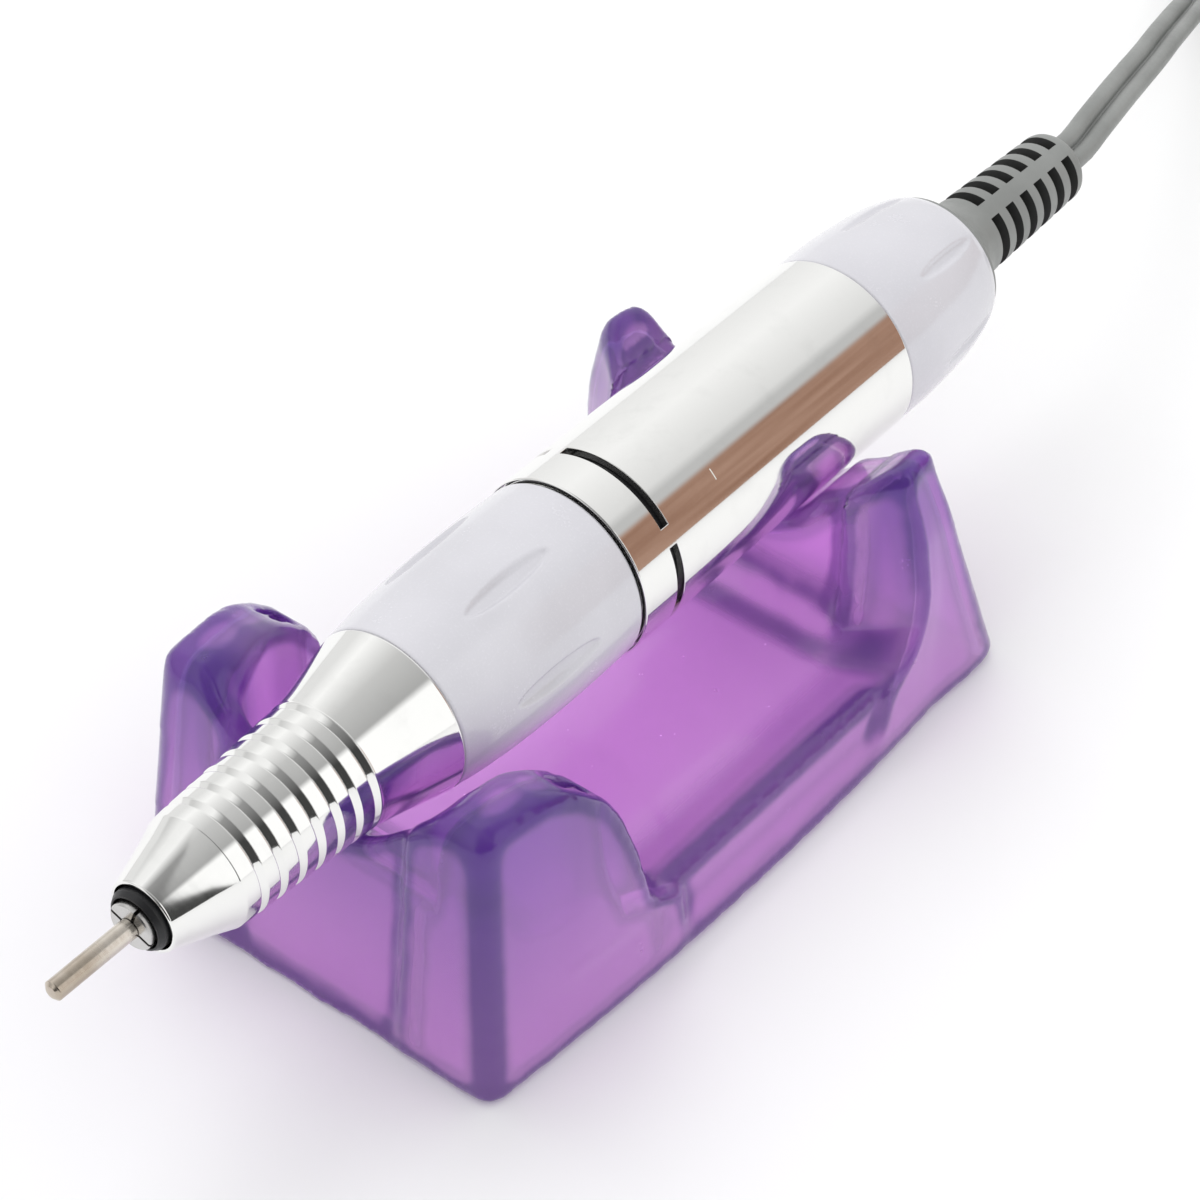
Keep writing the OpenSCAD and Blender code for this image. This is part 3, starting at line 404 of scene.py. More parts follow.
# Turns a line of (station, radius) about the handpiece, or about another middle
def spinLine(line, steps, middle=None, loop=True):
    centre = middle or Vector((0, jointY, axisHeight))
    form = bmesh.new()
    verts = [form.verts.new((centre.x + radius * mm, centre.y + station * mm, centre.z))
             for station, radius in line]
    for one, two in zip(verts, verts[1:] + (verts[:1] if loop else [])):
        if one is not two and (one.co - two.co).length > 1e-8:
            form.edges.new((one, two))
    bmesh.ops.spin(form, geom=form.verts[:] + form.edges[:], cent=centre, axis=(0, 1, 0),
                   angle=math.tau, steps=steps, use_merge=True, use_duplicate=False)
    bmesh.ops.remove_doubles(form, verts=form.verts[:], dist=1e-7)
    bmesh.ops.recalc_face_normals(form, faces=form.faces[:])
    return form


# Rides a body in place of the frame's nodes, with edges sharp beyond some degrees
def addPiece(name, form, finish, body, nodes, sharp):
    mesh = bpy.data.meshes.new(name)
    form.to_mesh(mesh)
    form.free()
    mesh.shade_smooth()
    mesh.set_sharp_from_angle(angle=math.radians(sharp))
    mesh.materials.append(finishes[finish])
    piece = bpy.data.objects.new(name, mesh)
    scene.collection.objects.link(piece)
    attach(piece, body)
    if nodes:
        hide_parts(*nodes)
    return piece


def addWall(piece, thickness, edge):
    wall = piece.modifiers.new("wall", "SOLIDIFY")
    wall.thickness = thickness * mm
    wall.offset = -1
    wall.use_even_offset = True
    rim = piece.modifiers.new("rim", "BEVEL")
    rim.width = edge * mm
    rim.segments = 2
    rim.limit_method = "ANGLE"
    rim.harden_normals = True
    rim.angle_limit = math.radians(50)


def stationOf(spot):
    return (spot.y - jointY) / mm


def radiusOf(spot):
    return math.hypot(spot.x, spot.z - axisHeight) / mm


def moveOut(spot, amount):
    out = Vector((spot.x, 0, spot.z - axisHeight)).normalized()
    return spot + out * amount * mm


# Signed angle between two directions, in degrees
def apart(one, two):
    return (one - two + 180) % 360 - 180


noseValues = {"front": -66.1, "bore": 3.95, "boreEnd": -59.5, "throat": 5.7, "inside": 6.3,
              "insideFrom": -57.0, "mouth": 7.3, "soft": 0.09, "grooves": 7,
              "firstGroove": -56.35, "pitch": 2.7, "width": 1.0, "depth": 0.55,
              "grooveFoot": (0.12, 0.02), "grooveFloor": 0.3,
              "tip": [(-66.1, 4.27), (-65.95, 4.37), (-60.9, 5.97), (-58.25, 6.98),
                      (-56.95, 7.1)],
              "taper": [(-56.95, 7.1), (-38.55, 8.1), (-28.7, 10.25)],
              "flare": [(-38.9, 8.06), (-36.5, 8.5), (-32.5, 9.4)], "rear": (-28.4, 10.1)}


def radiusOnLine(station, line):
    for (s0, r0), (s1, r1) in zip(line, line[1:]):
        if s0 <= station <= s1:
            return r0 + (r1 - r0) * (station - s0) / (s1 - s0)
    return line[-1][1]


def buildNose():
    v = noseValues
    outer = list(v["tip"])
    for k in range(v["grooves"]):
        s = v["firstGroove"] + k * v["pitch"]
        before = radiusOnLine(s, v["taper"])
        after = radiusOnLine(s + v["width"], v["taper"])
        low = after - v["depth"]
        outer += [(s, before), (s + v["grooveFoot"][0], low + v["grooveFoot"][1]),
                  (s + v["grooveFloor"], low), (s + v["width"], after)]
    flare = gentleCurve(v["flare"] + v["taper"][-1:], 0.5)
    line = [(v["boreEnd"], v["bore"]), (v["front"], v["bore"])] + outer + flare + [v["rear"]]
    line += [(v["rear"][0], v["mouth"]), (v["insideFrom"], v["inside"]),
             (v["boreEnd"], v["throat"])]
    form = spinLine(softCorners(line, v["soft"]), 192)
    return addPiece("chromeNose", form, "bright_chrome", "twist_section", ["nose"], 50)


gripValues = {"line": [(-28.15, 10.3), (-24, 10.85), (-18.4, 11.27), (-11.4, 11.45), (-6.2, 11.41),
                       (-0.5, 11.24)], "front": (-28.4, 10.15), "rear": (-0.1, 10.95),
              "inside": 9.2, "soft": 0.12, "dimples": 6, "dimpleFrom": -20.8, "dimpleTo": -7.6,
              "dimpleWidth": 2.6, "dimpleDepth": 0.66}


# Presses leaf-shaped hollows into whatever lies outside the skin's radius
def pressFlute(form, angles, start, end, width, depth, skin=9.25, steep=1.9):
    middle, half = (start + end) / 2, (end - start) / 2
    for vert in form.verts:
        s = stationOf(vert.co)
        if abs(s - middle) >= half or radiusOf(vert.co) < skin:
            continue
        lens = math.sqrt(1 - ((s - middle) / half) ** 2)
        for angle in angles:
            across = math.radians(apart(angleOf(vert.co), angle)) * radiusOf(vert.co)
            share = abs(across) / (width / 2 * lens + 1e-6)
            if share < 1:
                edge = min(1.0, (1 - share) * steep)
                vert.co = moveOut(vert.co, -depth * lens * math.sin(edge * math.pi / 2))
                break


def buildGrip():
    v = gripValues
    line = [(v["front"][0], v["inside"]), v["front"]] + gentleCurve(v["line"], 0.35)
    line += [v["rear"], (v["rear"][0], v["inside"])]
    form = spinLine(softCorners(line, v["soft"]), 360)
    pressFlute(form, [dimpleAngle + k * 360 / v["dimples"] for k in range(v["dimples"])],
               v["dimpleFrom"], v["dimpleTo"], v["dimpleWidth"], v["dimpleDepth"])
    return addPiece("pearlGrip", form, "pearl_white", "twist_section", ["front_grip"], 60)


dimpleAngle = angleOf(placeOn("gripDimple", frame["nodes"]["front_grip"]))
chromeNose = buildNose()
pearlGrip = buildGrip()
print("nose and grip turned, dimple at", round(dimpleAngle, 1))

# The line's ends are in (station, how much less than the tube's radius)
tubeValues = {"wall": 1.0, "slotFrom": 5.5, "slotTo": 6.7, "slotAngles": (38, 128, 218, 308),
              "slotArc": 78, "slotRow": 0.2, "edge": 0.1,
              "front": [(0.05, 0.2), (0.09, 0.08), (0.2, 0), (0.27, 0), (0.6, 0), (3.0, 0)],
              "rows": [10.0, 20.0, 30.0, 40.0, 48.6, 48.9, 48.96],
              "rear": [(49.05, 0.05), (tubeEnd, 0.15)]}


def buildTube():
    v = tubeValues
    slotRows = [v["slotFrom"] - v["slotRow"], v["slotFrom"], v["slotTo"],
                v["slotTo"] + v["slotRow"]]
    rows = v["front"] + [(s, 0) for s in slotRows + v["rows"]] + v["rear"]
    form = spinLine([(s, tubeRadius - less) for s, less in rows], 360, loop=False)
    gone = []
    for face in form.faces:
        spot = face.calc_center_median()
        if v["slotFrom"] < stationOf(spot) < v["slotTo"] and any(
                0 < (angleOf(spot) - start) % 360 < v["slotArc"] for start in v["slotAngles"]):
            gone.append(face)
    bmesh.ops.delete(form, geom=gone, context="FACES")
    tube = addPiece("chromeTube", form, "bright_chrome", "handpiece", ["body_tube"], 50)
    addWall(tube, v["wall"], v["edge"])
    return tube


capValues = {"line": [(49.4, 11.4), (55.0, 11.38), (59.0, 11.15), (63.0, 10.75), (65.9, 10.2),
                      (67.9, 9.65)], "front": (49.15, 11.2), "rear": (68.9, 9.2), "mouth": 8.65,
             "mouthDepth": 0.5, "throat": 6.0, "throatDepth": 2.6, "inside": (60.0, 9.4),
             "lip": 10.2, "soft": 0.15, "flutes": 6, "fluteAngle": 53.0, "fluteFrom": 56.6,
             "fluteTo": 67.0, "fluteWidth": 1.7, "fluteDepth": 0.4}


def buildCap():
    v = capValues
    end = v["rear"][0]
    line = [(v["front"][0], v["lip"]), v["front"]] + gentleCurve(v["line"], 0.4)
    line += [v["rear"], (end, v["mouth"]), (end - v["mouthDepth"], v["mouth"]),
             (end - v["mouthDepth"], v["throat"]), (end - v["throatDepth"], v["throat"]),
             v["inside"]]
    form = spinLine(softCorners(line, v["soft"]), 300)
    pressFlute(form, [v["fluteAngle"] + k * 360 / v["flutes"] for k in range(v["flutes"])],
               v["fluteFrom"], v["fluteTo"], v["fluteWidth"], v["fluteDepth"])
    return addPiece("pearlCap", form, "pearl_white", "handpiece", ["rear_cap"], 60)


# The end is in (station, how much less than the tip's radius)
reliefValues = {"flangeFrom": 68.5, "flange": 8.8, "edge": (0.15, 0.1), "bore": 5.6,
                "flareFrom": 69.6, "flareTo": 75.3, "flareRows": 8, "hollow": 1.7, "neck": 5.2,
                "tip": 4.6, "end": [(93.7, 0), (94.2, 0.12), (94.6, 0.4),
                                    (reliefEnd - 0.08, 0.8), (reliefEnd, 1.3)],
                "slots": 6, "firstSlot": 76.3, "pitch": 3.033, "width": 1.58, "spine": 25,
                "spineAngle": 65, "wall": 1.9, "slotEdge": 0.14}


def buildRelief():
    v = reliefValues
    line = [(v["flangeFrom"], v["bore"]), (v["flangeFrom"], v["flange"] - v["edge"][1]),
            (v["flangeFrom"] + v["edge"][0], v["flange"])]
    for k in range(v["flareRows"] + 1):
        share = k / v["flareRows"]
        line.append((v["flareFrom"] + (v["flareTo"] - v["flareFrom"]) * share,
                     v["neck"] + (v["flange"] - v["neck"]) * (1 - share) ** v["hollow"]))
    slope = (v["tip"] - v["neck"]) / (v["end"][0][0] - v["flareTo"])
    for k in range(v["slots"]):
        slotAt = v["firstSlot"] + k * v["pitch"]
        line += [(s, v["neck"] + slope * (s - v["flareTo"])) for s in (slotAt, slotAt + v["width"])]
    line += [(s, v["tip"] - less) for s, less in v["end"]]
    form = spinLine(line, 288, loop=False)
    gone = []
    for face in form.faces:
        spot = face.calc_center_median()
        along = (stationOf(spot) - v["firstSlot"]) / v["pitch"]
        turn = (angleOf(spot) - v["spineAngle"]) % 180
        inSlot = 0 < along < v["slots"] and 0 < along % 1 * v["pitch"] < v["width"]
        if inSlot and v["spine"] / 2 < turn < 180 - v["spine"] / 2:
            gone.append(face)
    bmesh.ops.delete(form, geom=gone, context="FACES")
    relief = addPiece("greyRelief", form, "grey_rubber", "handpiece", ["strain_relief"], 40)
    addWall(relief, v["wall"], v["slotEdge"])
    # Painted shade: the inside and the slot walls take the dark grey finish, for the shadow deep in
    # the slots
    relief.data.materials.append(finishes["relief_hollow"])
    relief.modifiers["wall"].material_offset = 1
    relief.modifiers["wall"].material_offset_rim = 1
    return relief


chromeTube = buildTube()
pearlCap = buildCap()
greyRelief = buildRelief()

shankValues = {"radius": 1.175, "tipRadius": 0.72, "tipCut": 0.35, "inside": 20.0,
               "markFront": 0.05, "mark": 0.7, "markDepth": 0.2}


def buildShank():
    v = shankValues
    r, tip, end = v["radius"], shankTip, colletFront + v["inside"]
    markAt = colletFront - v["markFront"]
    line = [(tip, 0.0), (tip, v["tipRadius"]), (tip + v["tipCut"], r), (markAt, r),
            (markAt, r - v["markDepth"]), (markAt + v["mark"], r - v["markDepth"]),
            (markAt + v["mark"], r), (end, r), (end, 0.0)]
    form = spinLine(softCorners(line, 0.06), 96, loop=False)
    return addPiece("testShank", form, "shank_steel", "bit", ["shank"], 50)


testShank = buildShank()
print("tube, cap, relief and shank turned")

# Cradle: the frame's own walls, melted together askew, so that no edge runs along the
# voxels and all come out even, then softened. What starts with foot, corner, cut or lean
# reshapes the lobes, in millimetres from the middle, the front, the back and the table.
cradleValues = {"voxel": 0.63, "askew": (0.62, 0.51, 0.73), "plain": 3, "passes": 12, "shrink": 0.5,
                "grow": -0.53, "turnFull": 0.02, "turnPasses": 5, "faceted": 0.5, "sharp": 25.0,
                "setback": 0.8, "relax": 12, "after": 14, "footPull": 3.4,
                "footFront": (10.0, 22.0, 33.0, 42.0), "footHeights": (8.0, 11.0, 17.0, 31.0),
                "cornerSpread": (0.9, 0.6), "cornerBack": (4.0, 14.0), "cornerSide": (16.0, 24.0),
                "cornerTop": 34.0, "cutSide": 17.0, "cutSlope": 0.8, "cutHeights": (3.0, 19.0),
                "cutBack": (5.0, 24.0), "cutEnd": 36.5, "lean": 0.05, "leanHeights": (24.0, 34.0)}


# A soft rise from 0 to 1 between two values
def rise(value, low, high):
    t = min(max((value - low) / (high - low), 0.0), 1.0)
    return t * t * (3 - 2 * t)


# Marks how sharply the wall turns at each vertex, where the finish paints edge shade into its
# colour and dims its painted glow
def markTurns(form):
    v = cradleValues
    layer = form.verts.layers.float.new("wallTurn")
    form.normal_update()
    turns = {}
    for vert in form.verts:
        ring = [edge.other_vert(vert).co for edge in vert.link_edges]
        middle = sum(ring, Vector()) / len(ring)
        turns[vert] = abs((middle - vert.co).dot(vert.normal)) / (v["turnFull"] * mm)
    for _ in range(v["turnPasses"]):
        turns = {vert: (turn + sum(turns[edge.other_vert(vert)] for edge in vert.link_edges))
                 / (1 + len(vert.link_edges)) for vert, turn in turns.items()}
    for vert, turn in turns.items():
        vert[layer] = min(turn, 1.0)


# A search tree of points along the edges that turn by more than some degrees
def edgeMarks(source, turn, spacing=0.3):
    spots = []
    for edge in source.edges:
        if len(edge.link_faces) == 2 and edge.calc_face_angle() > math.radians(turn):
            first, last = (vert.co for vert in edge.verts)
            count = max(1, round((last - first).length / (spacing * mm)))
            spots += [first.lerp(last, k / count) for k in range(count + 1)]
    marks = KDTree(len(spots))
    for k, spot in enumerate(spots):
        marks.insert(spot, k)
    marks.balance()
    return marks


def smoothed(form, verts, shares):
    for share in shares:
        bmesh.ops.smooth_vert(form, verts=verts, factor=share, use_axis_x=True,
                              use_axis_y=True, use_axis_z=True)


# Flat walls return to their true planes, and the rounded edges relax between them
def settleWalls(form, source):
    v = cradleValues
    tree = BVHTree.FromBMesh(source)
    every, sharp = edgeMarks(source, v["faceted"]), edgeMarks(source, v["sharp"])
    beside = []
    for vert in form.verts:
        if every.find(vert.co)[2] > v["setback"] * mm:
            vert.co = tree.find_nearest(vert.co)[0]
        elif sharp.find(vert.co)[2] < v["setback"] * mm:
            beside.append(vert)
    smoothed(form, beside, [v["shrink"]] * v["relax"])
    smoothed(form, form.verts[:], [v["shrink"], v["grow"]] * v["after"])


def hump(value, up, upTo, down, downTo):
    return rise(value, up, upTo) * (1 - rise(value, down, downTo))


# As in the photograph, the front lobes' rear slopes stand further forward, and the rear
# lobes' outer front corners fall back and lean in
def reshapeLobes(form):
    v = cradleValues
    low, high = reach("stand")
    for vert in form.verts:
        x, z = abs(vert.co.x) / mm, vert.co.z / mm
        fore, back = (vert.co.y - low.y) / mm, (high.y - vert.co.y) / mm
        vert.co.y -= v["footPull"] * hump(fore, *v["footFront"]) * hump(z, *v["footHeights"]) * mm
        corner = (1 - rise(back, *v["cornerBack"])) * rise(x, *v["cornerSide"])
        corner *= min(max(1 - z / v["cornerTop"], 0), 1)
        vert.co.x += math.copysign(v["cornerSpread"][0] * corner * mm, vert.co.x)
        vert.co.y += v["cornerSpread"][1] * corner * mm
        raised = rise(z, *v["cutHeights"])
        if x > v["cutSide"] and back < v["cutEnd"] and raised > 0:
            cut = (x - v["cutSide"]) * v["cutSlope"] * raised * rise(back, *v["cutBack"])
            vert.co.y += cut * mm
            vert.co.x *= 1 - v["lean"] * raised * rise(z, *v["leanHeights"])


def buildCradle():
    v = cradleValues
    form = bmesh.new()
    form.from_mesh(frame["nodes"]["stand"].data)
    bmesh.ops.remove_doubles(form, verts=form.verts[:], dist=1e-6)
    source = form.copy()
    askew = Euler(v["askew"]).to_matrix()
    bmesh.ops.transform(form, matrix=askew.to_4x4(), verts=form.verts[:])
    mesh = bpy.data.meshes.new("cradleRaw")
    form.to_mesh(mesh)
    form.free()
    raw = bpy.data.objects.new("cradleRaw", mesh)
    scene.collection.objects.link(raw)
    melt = raw.modifiers.new("melt", "REMESH")
    melt.mode = "VOXEL"
    melt.voxel_size = v["voxel"] * mm
    melted = bpy.data.meshes.new_from_object(
        raw.evaluated_get(bpy.context.evaluated_depsgraph_get()))
    bpy.data.objects.remove(raw)
    form = bmesh.new()
    form.from_mesh(melted)
    bmesh.ops.transform(form, matrix=askew.inverted().to_4x4(), verts=form.verts[:])
    smoothed(form, form.verts[:],
             [v["shrink"]] * v["plain"] + [v["shrink"], v["grow"]] * v["passes"])
    settleWalls(form, source)
    source.free()
    reshapeLobes(form)
    markTurns(form)
    cradle = addPiece("purpleCradle", form, "cradle_plastic", "cradle", ["stand"], 180)
    bpy.data.meshes.remove(melted)
    return cradle


purpleCradle = buildCradle()
print("cradle softened:", len(purpleCradle.data.polygons), "faces")

# Lead: a flat twin cable, its coil, tie and plug. The rows of the coil count its radii
# inwards. The tail goes on from the coil, in (onwards, height).
leadValues = {"width": 4.9, "thick": 2.45, "wire": 1.17, "web": 0.16, "exitRoll": -25.0,
              "rollShare": 1.15, "insideRelief": 5.0, "spacing": 2.2, "coilGap": 1.2,
              "coil": [(low + high) / 2 / mm for low, high in zip(coilLow, coilHigh)],
              "radii": (31.9, 27.0, 22.1), "rows": [0, 1, 2, 2, 1, 0, 1, 0],
              "layers": [0, 0, 0, 1, 1, 1, 2, 2], "layer": 2.45, "turns": 7.5, "perTurn": 48,
              "moveFrom": 0.84, "climb": 0.2, "earlyRow": 5, "earlyFrom": 0.62,
              "tail": [(-6.0, 6.1), (-12.0, 5.2), (-18.0, 4.4), (-22.0, 4.25), (-25.0, 4.25)],
              "tailSpacing": 2.0}
# Sideways, onwards from the strain relief, and height as a share of the axis height
leadRoute = [(0, 0, 1), (-0.2, 5, 0.995), (-1.4, 10, 0.975), (-2.8, 15.5, 0.945),
             (-4.6, 21.7, 0.895), (-6.7, 28.7, 0.83), (-9.1, 36.2, 0.75), (-12.1, 44.9, 0.655),
             (-15.4, 54.4, 0.54), (-19, 63.9, 0.41), (-24, 74.5, 0.275), (-29.5, 85.5, 0.155),
             (-34.5, 96.5, 0.07), (-38, 107.5, 0.03), (-39.6, 116.5, 0.012)]


# A curve through all the points, with about the same spacing all along
def throughPoints(points, spacing):
    line = []
    for k in range(len(points) - 1):
        p0, p1 = points[max(k - 1, 0)], points[k]
        p2, p3 = points[k + 1], points[min(k + 2, len(points) - 1)]
        count = max(2, round((p2 - p1).length / spacing))
        for n in range(count):
            t = n / count
            line.append(0.5 * (2 * p1 + (p2 - p0) * t + (2 * p0 - 5 * p1 + 4 * p2 - p3) * t * t
                               + (3 * p1 - p0 - 3 * p2 + p3) * t ** 3))
    return line + [points[-1]]


# The coil winds clockwise from its left side: three rows inwards, three outwards one layer
# up, and a turn and a half on top. Each row ends with the move to the next row or layer.
def coilPoints():
    v = leadValues
    rows, layers = [v["radii"][n] for n in v["rows"]], v["layers"]
    points = []
    for k in range(int(v["turns"] * v["perTurn"]) + 1):
        turn = k / v["perTurn"]
        row = min(int(turn), len(rows) - 1)
        share = turn - row
        nextRow = min(row + 1, len(rows) - 1)
        radius = rows[row] + (rows[nextRow] - rows[row]) * rise(share, v["moveFrom"], 1)
        rising = v["earlyFrom"] if row == v["earlyRow"] else v["moveFrom"]
        climbed = rise(share, rising, rising + v["climb"])
        layer = layers[row] + (layers[nextRow] - layers[row]) * climbed
        around = math.pi - turn * math.tau
        points.append(Vector(((v["coil"][0] + radius * math.cos(around)) * mm,
                              (v["coil"][1] + radius * math.sin(around)) * mm,
                              (v["thick"] / 2 + layer * v["layer"]) * mm)))
    return points


def leadPath():
    v = leadValues
    drop = axisHeight - v["thick"] / 2 * mm
    start = jointY + reliefEnd * mm
    fall = [Vector((x * mm, start + y * mm, v["thick"] / 2 * mm + share * drop))
            for x, y, share in leadRoute]
    inside = fall[0] - Vector((0, v["insideRelief"] * mm, 0))
    coil = coilPoints()
    # It is aimed along the coil's first points, and stops just before them
    falling = throughPoints([inside] + fall + [coil[0], coil[4]], v["spacing"] * mm)
    falling = [spot for spot in falling if spot.y < coil[0].y - v["coilGap"] * mm]
    middle = (plugLow.x + plugHigh.x) / 2
    tail = throughPoints([coil[-1]] + [Vector((middle, coil[-1].y + y * mm, z * mm))
                                       for y, z in v["tail"]], v["tailSpacing"] * mm)
    return falling, coil, tail


# Two round wires side by side, as an outline of a figure of eight
def twinOutline():
    v = leadValues
    r = v["wire"]
    toWeb = math.acos((v["web"] / r) ** 2 / 4 - 1)
    steps = 8
    outline = []
    for side in (1, -1):
        for k in range(2 * steps + 1):
            turn = toWeb * (k / steps - 1)
            outline.append((side * (v["width"] / 2 - r + r * math.cos(turn)),
                            side * r * math.sin(turn)))
    return outline


def buildLead():
    v = leadValues
    falling, coil, tail = leadPath()
    line = falling + coil + tail[1:]
    outline = twinOutline()
    form = bmesh.new()
    rings = []
    for k, spot in enumerate(line):
        ahead = (line[min(k + 1, len(line) - 1)] - line[max(k - 1, 0)]).normalized()
        level = ahead.cross(Vector((0, 0, 1))).normalized()
        up = level.cross(ahead)
        roll = math.radians(v["exitRoll"]) * (1 - rise(k * v["rollShare"], 0, len(falling)))
        across = level * math.cos(roll) + up * math.sin(roll)
        thick = across.cross(ahead)
        rings.append([form.verts.new(spot + (across * a + thick * b) * mm) for a, b in outline])
    for ring, following in zip(rings, rings[1:]):
        for k in range(len(ring)):
            n = (k + 1) % len(ring)
            form.faces.new((ring[k], ring[n], following[n], following[k]))
    form.faces.new(rings[0])
    form.faces.new(rings[-1])
    bmesh.ops.recalc_face_normals(form, faces=form.faces[:])
    lead = addPiece("twinLead", form, "grey_rubber", "handpiece",
                    ["lead", "lead_coil", "lead_tail"], 60)
    length = sum((two - one).length for one, two in zip(line, line[1:]))
    return lead, line, length


twinLead, leadLine, leadLength = buildLead()
print("lead laid, metres:", round(leadLength, 4))

tieValues = {"width": 5.0, "inner": 18.85, "outer": 35.15, "foot": 0.35, "height": 8.15,
             "lowCorner": 0.35, "topCorner": 1.6, "thick": 0.7, "edge": 0.12}


def buildTie():
    v = tieValues
    c = leadValues["coil"]
    form = bmesh.new()
    inner, outer, side = v["inner"] + c[1], v["outer"] + c[1], c[0] - v["width"] / 2
    corners = [(inner, v["foot"]), (outer, v["foot"]), (outer, v["height"]), (inner, v["height"])]
    turns = [(1, 1), (-1, 1), (-1, -1), (1, -1)]
    verts = []
    for n, ((y, z), (sy, sz)) in enumerate(zip(corners, turns)):
        r = v["topCorner"] if sz < 0 else v["lowCorner"]
        for k in range(5):
            a = math.radians(180 + 90 * n + 22.5 * k)
            spot = Vector((side, y + (sy + math.cos(a)) * r, z + (sz + math.sin(a)) * r))
            verts.append(form.verts.new(spot * mm))
    edges = [form.edges.new((one, two)) for one, two in zip(verts, verts[1:] + verts[:1])]
    made = bmesh.ops.extrude_edge_only(form, edges=edges)
    moved = [item for item in made["geom"] if isinstance(item, bmesh.types.BMVert)]
    bmesh.ops.translate(form, vec=(v["width"] * mm, 0, 0), verts=moved)
    bmesh.ops.recalc_face_normals(form, faces=form.faces[:])
    tie = addPiece("coilTie", form, "black_plastic", "handpiece", ["coil_tie"], 40)
    addWall(tie, v["thick"], v["edge"])
    return tie


# Lengths run from the lead's end of the boot. A rib is in (length, change of radius), and a
# rounding or the nib in (length before the end, how much less than the radius).
plugValues = {"x": (plugLow.x + plugHigh.x) / 2 / mm, "z": (plugLow.z + plugHigh.z) / 2 / mm,
              "from": plugHigh.y / mm, "taper": 11.0, "body": 24.0, "radius": 4.25,
              "neck": 2.85, "leadHole": 1.6, "bore": 0.9, "ribs": 5, "firstRib": 1.6,
              "ribPitch": 1.8, "ribShare": 0.9,
              "rib": [(0.0, 0.0), (0.15, -0.35), (0.65, -0.35), (0.8, 0.1)],
              "step": (1.2, 0.05), "rounding": [(1.0, 0.0), (0.3, 0.25), (0.0, 0.8)],
              "boreFrom": 2.0,
              "contact": 14.5, "contactRadius": 1.75, "collar": (0.2, 1.0), "ring": (9.0, 0.8, 0.4),
              "nib": [(3.0, 0.0), (2.2, 0.55), (1.5, 0.15)], "nibTip": (0.3, 0.7)}


# Turned about the plug's own axis, from the lead towards its contact
def plugLine(line, steps, loop=True):
    v = plugValues
    turned = [(v["from"] - length - jointY / mm, radius) for length, radius in line]
    return spinLine(turned, steps, Vector((v["x"] * mm, jointY, v["z"] * mm)), loop)


def buildPlug():
    v = plugValues
    end = v["taper"] + v["body"]
    line = [(0.0, v["leadHole"]), (0.0, v["neck"])]
    for k in range(v["ribs"]):
        s = v["firstRib"] + k * v["ribPitch"]
        r = v["neck"] + (v["radius"] - v["neck"]) * s / v["taper"] * v["ribShare"]
        line += [(s + along, r + out) for along, out in v["rib"]]
    line += [(v["taper"], v["radius"] - v["step"][1]), (v["taper"] + v["step"][0], v["radius"])]
    line += [(end - before, v["radius"] - less) for before, less in v["rounding"]]
    line += [(end, v["bore"]), (v["boreFrom"], v["bore"])]
    boot = addPiece("plugBoot", plugLine(softCorners(line, 0.12), 96), "black_plastic",
                    "handpiece", ["plug_boot"], 50)
    r = v["contactRadius"]
    back, front = end - v["collar"][0], end + v["collar"][1]
    ringAt, ringFloor = end + v["ring"][0], r - v["ring"][2]
    ringTo, tip = ringAt + v["ring"][1], end + v["contact"]
    line = [(back, 0.0), (back, r + 1), (front, r + 1), (front, r), (ringAt, r),
            (ringAt, ringFloor), (ringTo, ringFloor), (ringTo, r)]
    line += [(tip - before, r - less) for before, less in v["nib"]]
    line += [(tip - v["nibTip"][0], v["nibTip"][1]), (tip, 0.0)]
    contact = addPiece("plugContact", plugLine(softCorners(line, 0.1), 96, False), "jack_metal",
                       "handpiece", ["plug_contact"], 50)
    return boot, contact


coilTie = buildTie()
plugBoot, plugContact = buildPlug()
leadValues["width"] * mm

markValues = {"spread": 7.0, "width": 0.14, "height": 0.012, "sunk": 0.05}


def buildMark():
    v = markValues
    spot = placeOn("indexMark", chromeTube)
    s, middle = stationOf(spot), angleOf(spot)
    r = tubeRadius
    form = bmesh.new()
    back, front = s - v["width"] / 2, s + v["width"] / 2
    corners = [(back, r - v["sunk"]), (back, r + v["height"]), (front, r + v["height"]),
               (front, r - v["sunk"])]
    verts = [form.verts.new(onAxis(station, radius, middle + v["spread"] / 2))
             for station, radius in corners]
    face = form.faces.new(verts)
    bmesh.ops.spin(form, geom=[face], cent=(0, jointY, axisHeight), axis=(0, 1, 0),
                   angle=math.radians(v["spread"]), steps=12, use_duplicate=False)
    bmesh.ops.recalc_face_normals(form, faces=form.faces[:])
    addPiece("indexMark", form, "mark_paint", "handpiece", [], 30)
    return s, r, middle


markPlace = buildMark()
print("plug, tie and index mark made")

# A lamp is in (place, side, power)
studioValues = {"floorSize": 3.0, "floorDrop": 0.0002, "floorTones": ("#fbfbfb", "#f7f7f8"),
                "world": 0.93, "lampAim": (0, 0, 0.02),
                "lamps": {"keyLamp": ((-0.7, 0.3, 1.3), 0.9, 5.0),
                          "fillLamp": ((0.9, -0.6, 1.1), 1.0, 1.6)}}


def buildFloor():
    v = studioValues
    form = bmesh.new()
    bmesh.ops.create_grid(form, x_segments=1, y_segments=1, size=v["floorSize"])
    mesh = bpy.data.meshes.new("studioFloor")
    form.to_mesh(mesh)
    form.free()
    floor = bpy.data.objects.new("studioFloor", mesh)
    floor.location.z = cadBox[0][2] - v["floorDrop"]
    scene.collection.objects.link(floor)
    finish, shader, place = newFinish("studioPaper", Roughness=0.9, Specular_IOR_Level=0.1)
    tone = place.noise(2.0, 2.0).spread(0.3, 0.7)
    feed(shader, Base_Color=mixColour(tone, *(rgba(code) for code in v["floorTones"])))
    mesh.materials.append(finish)


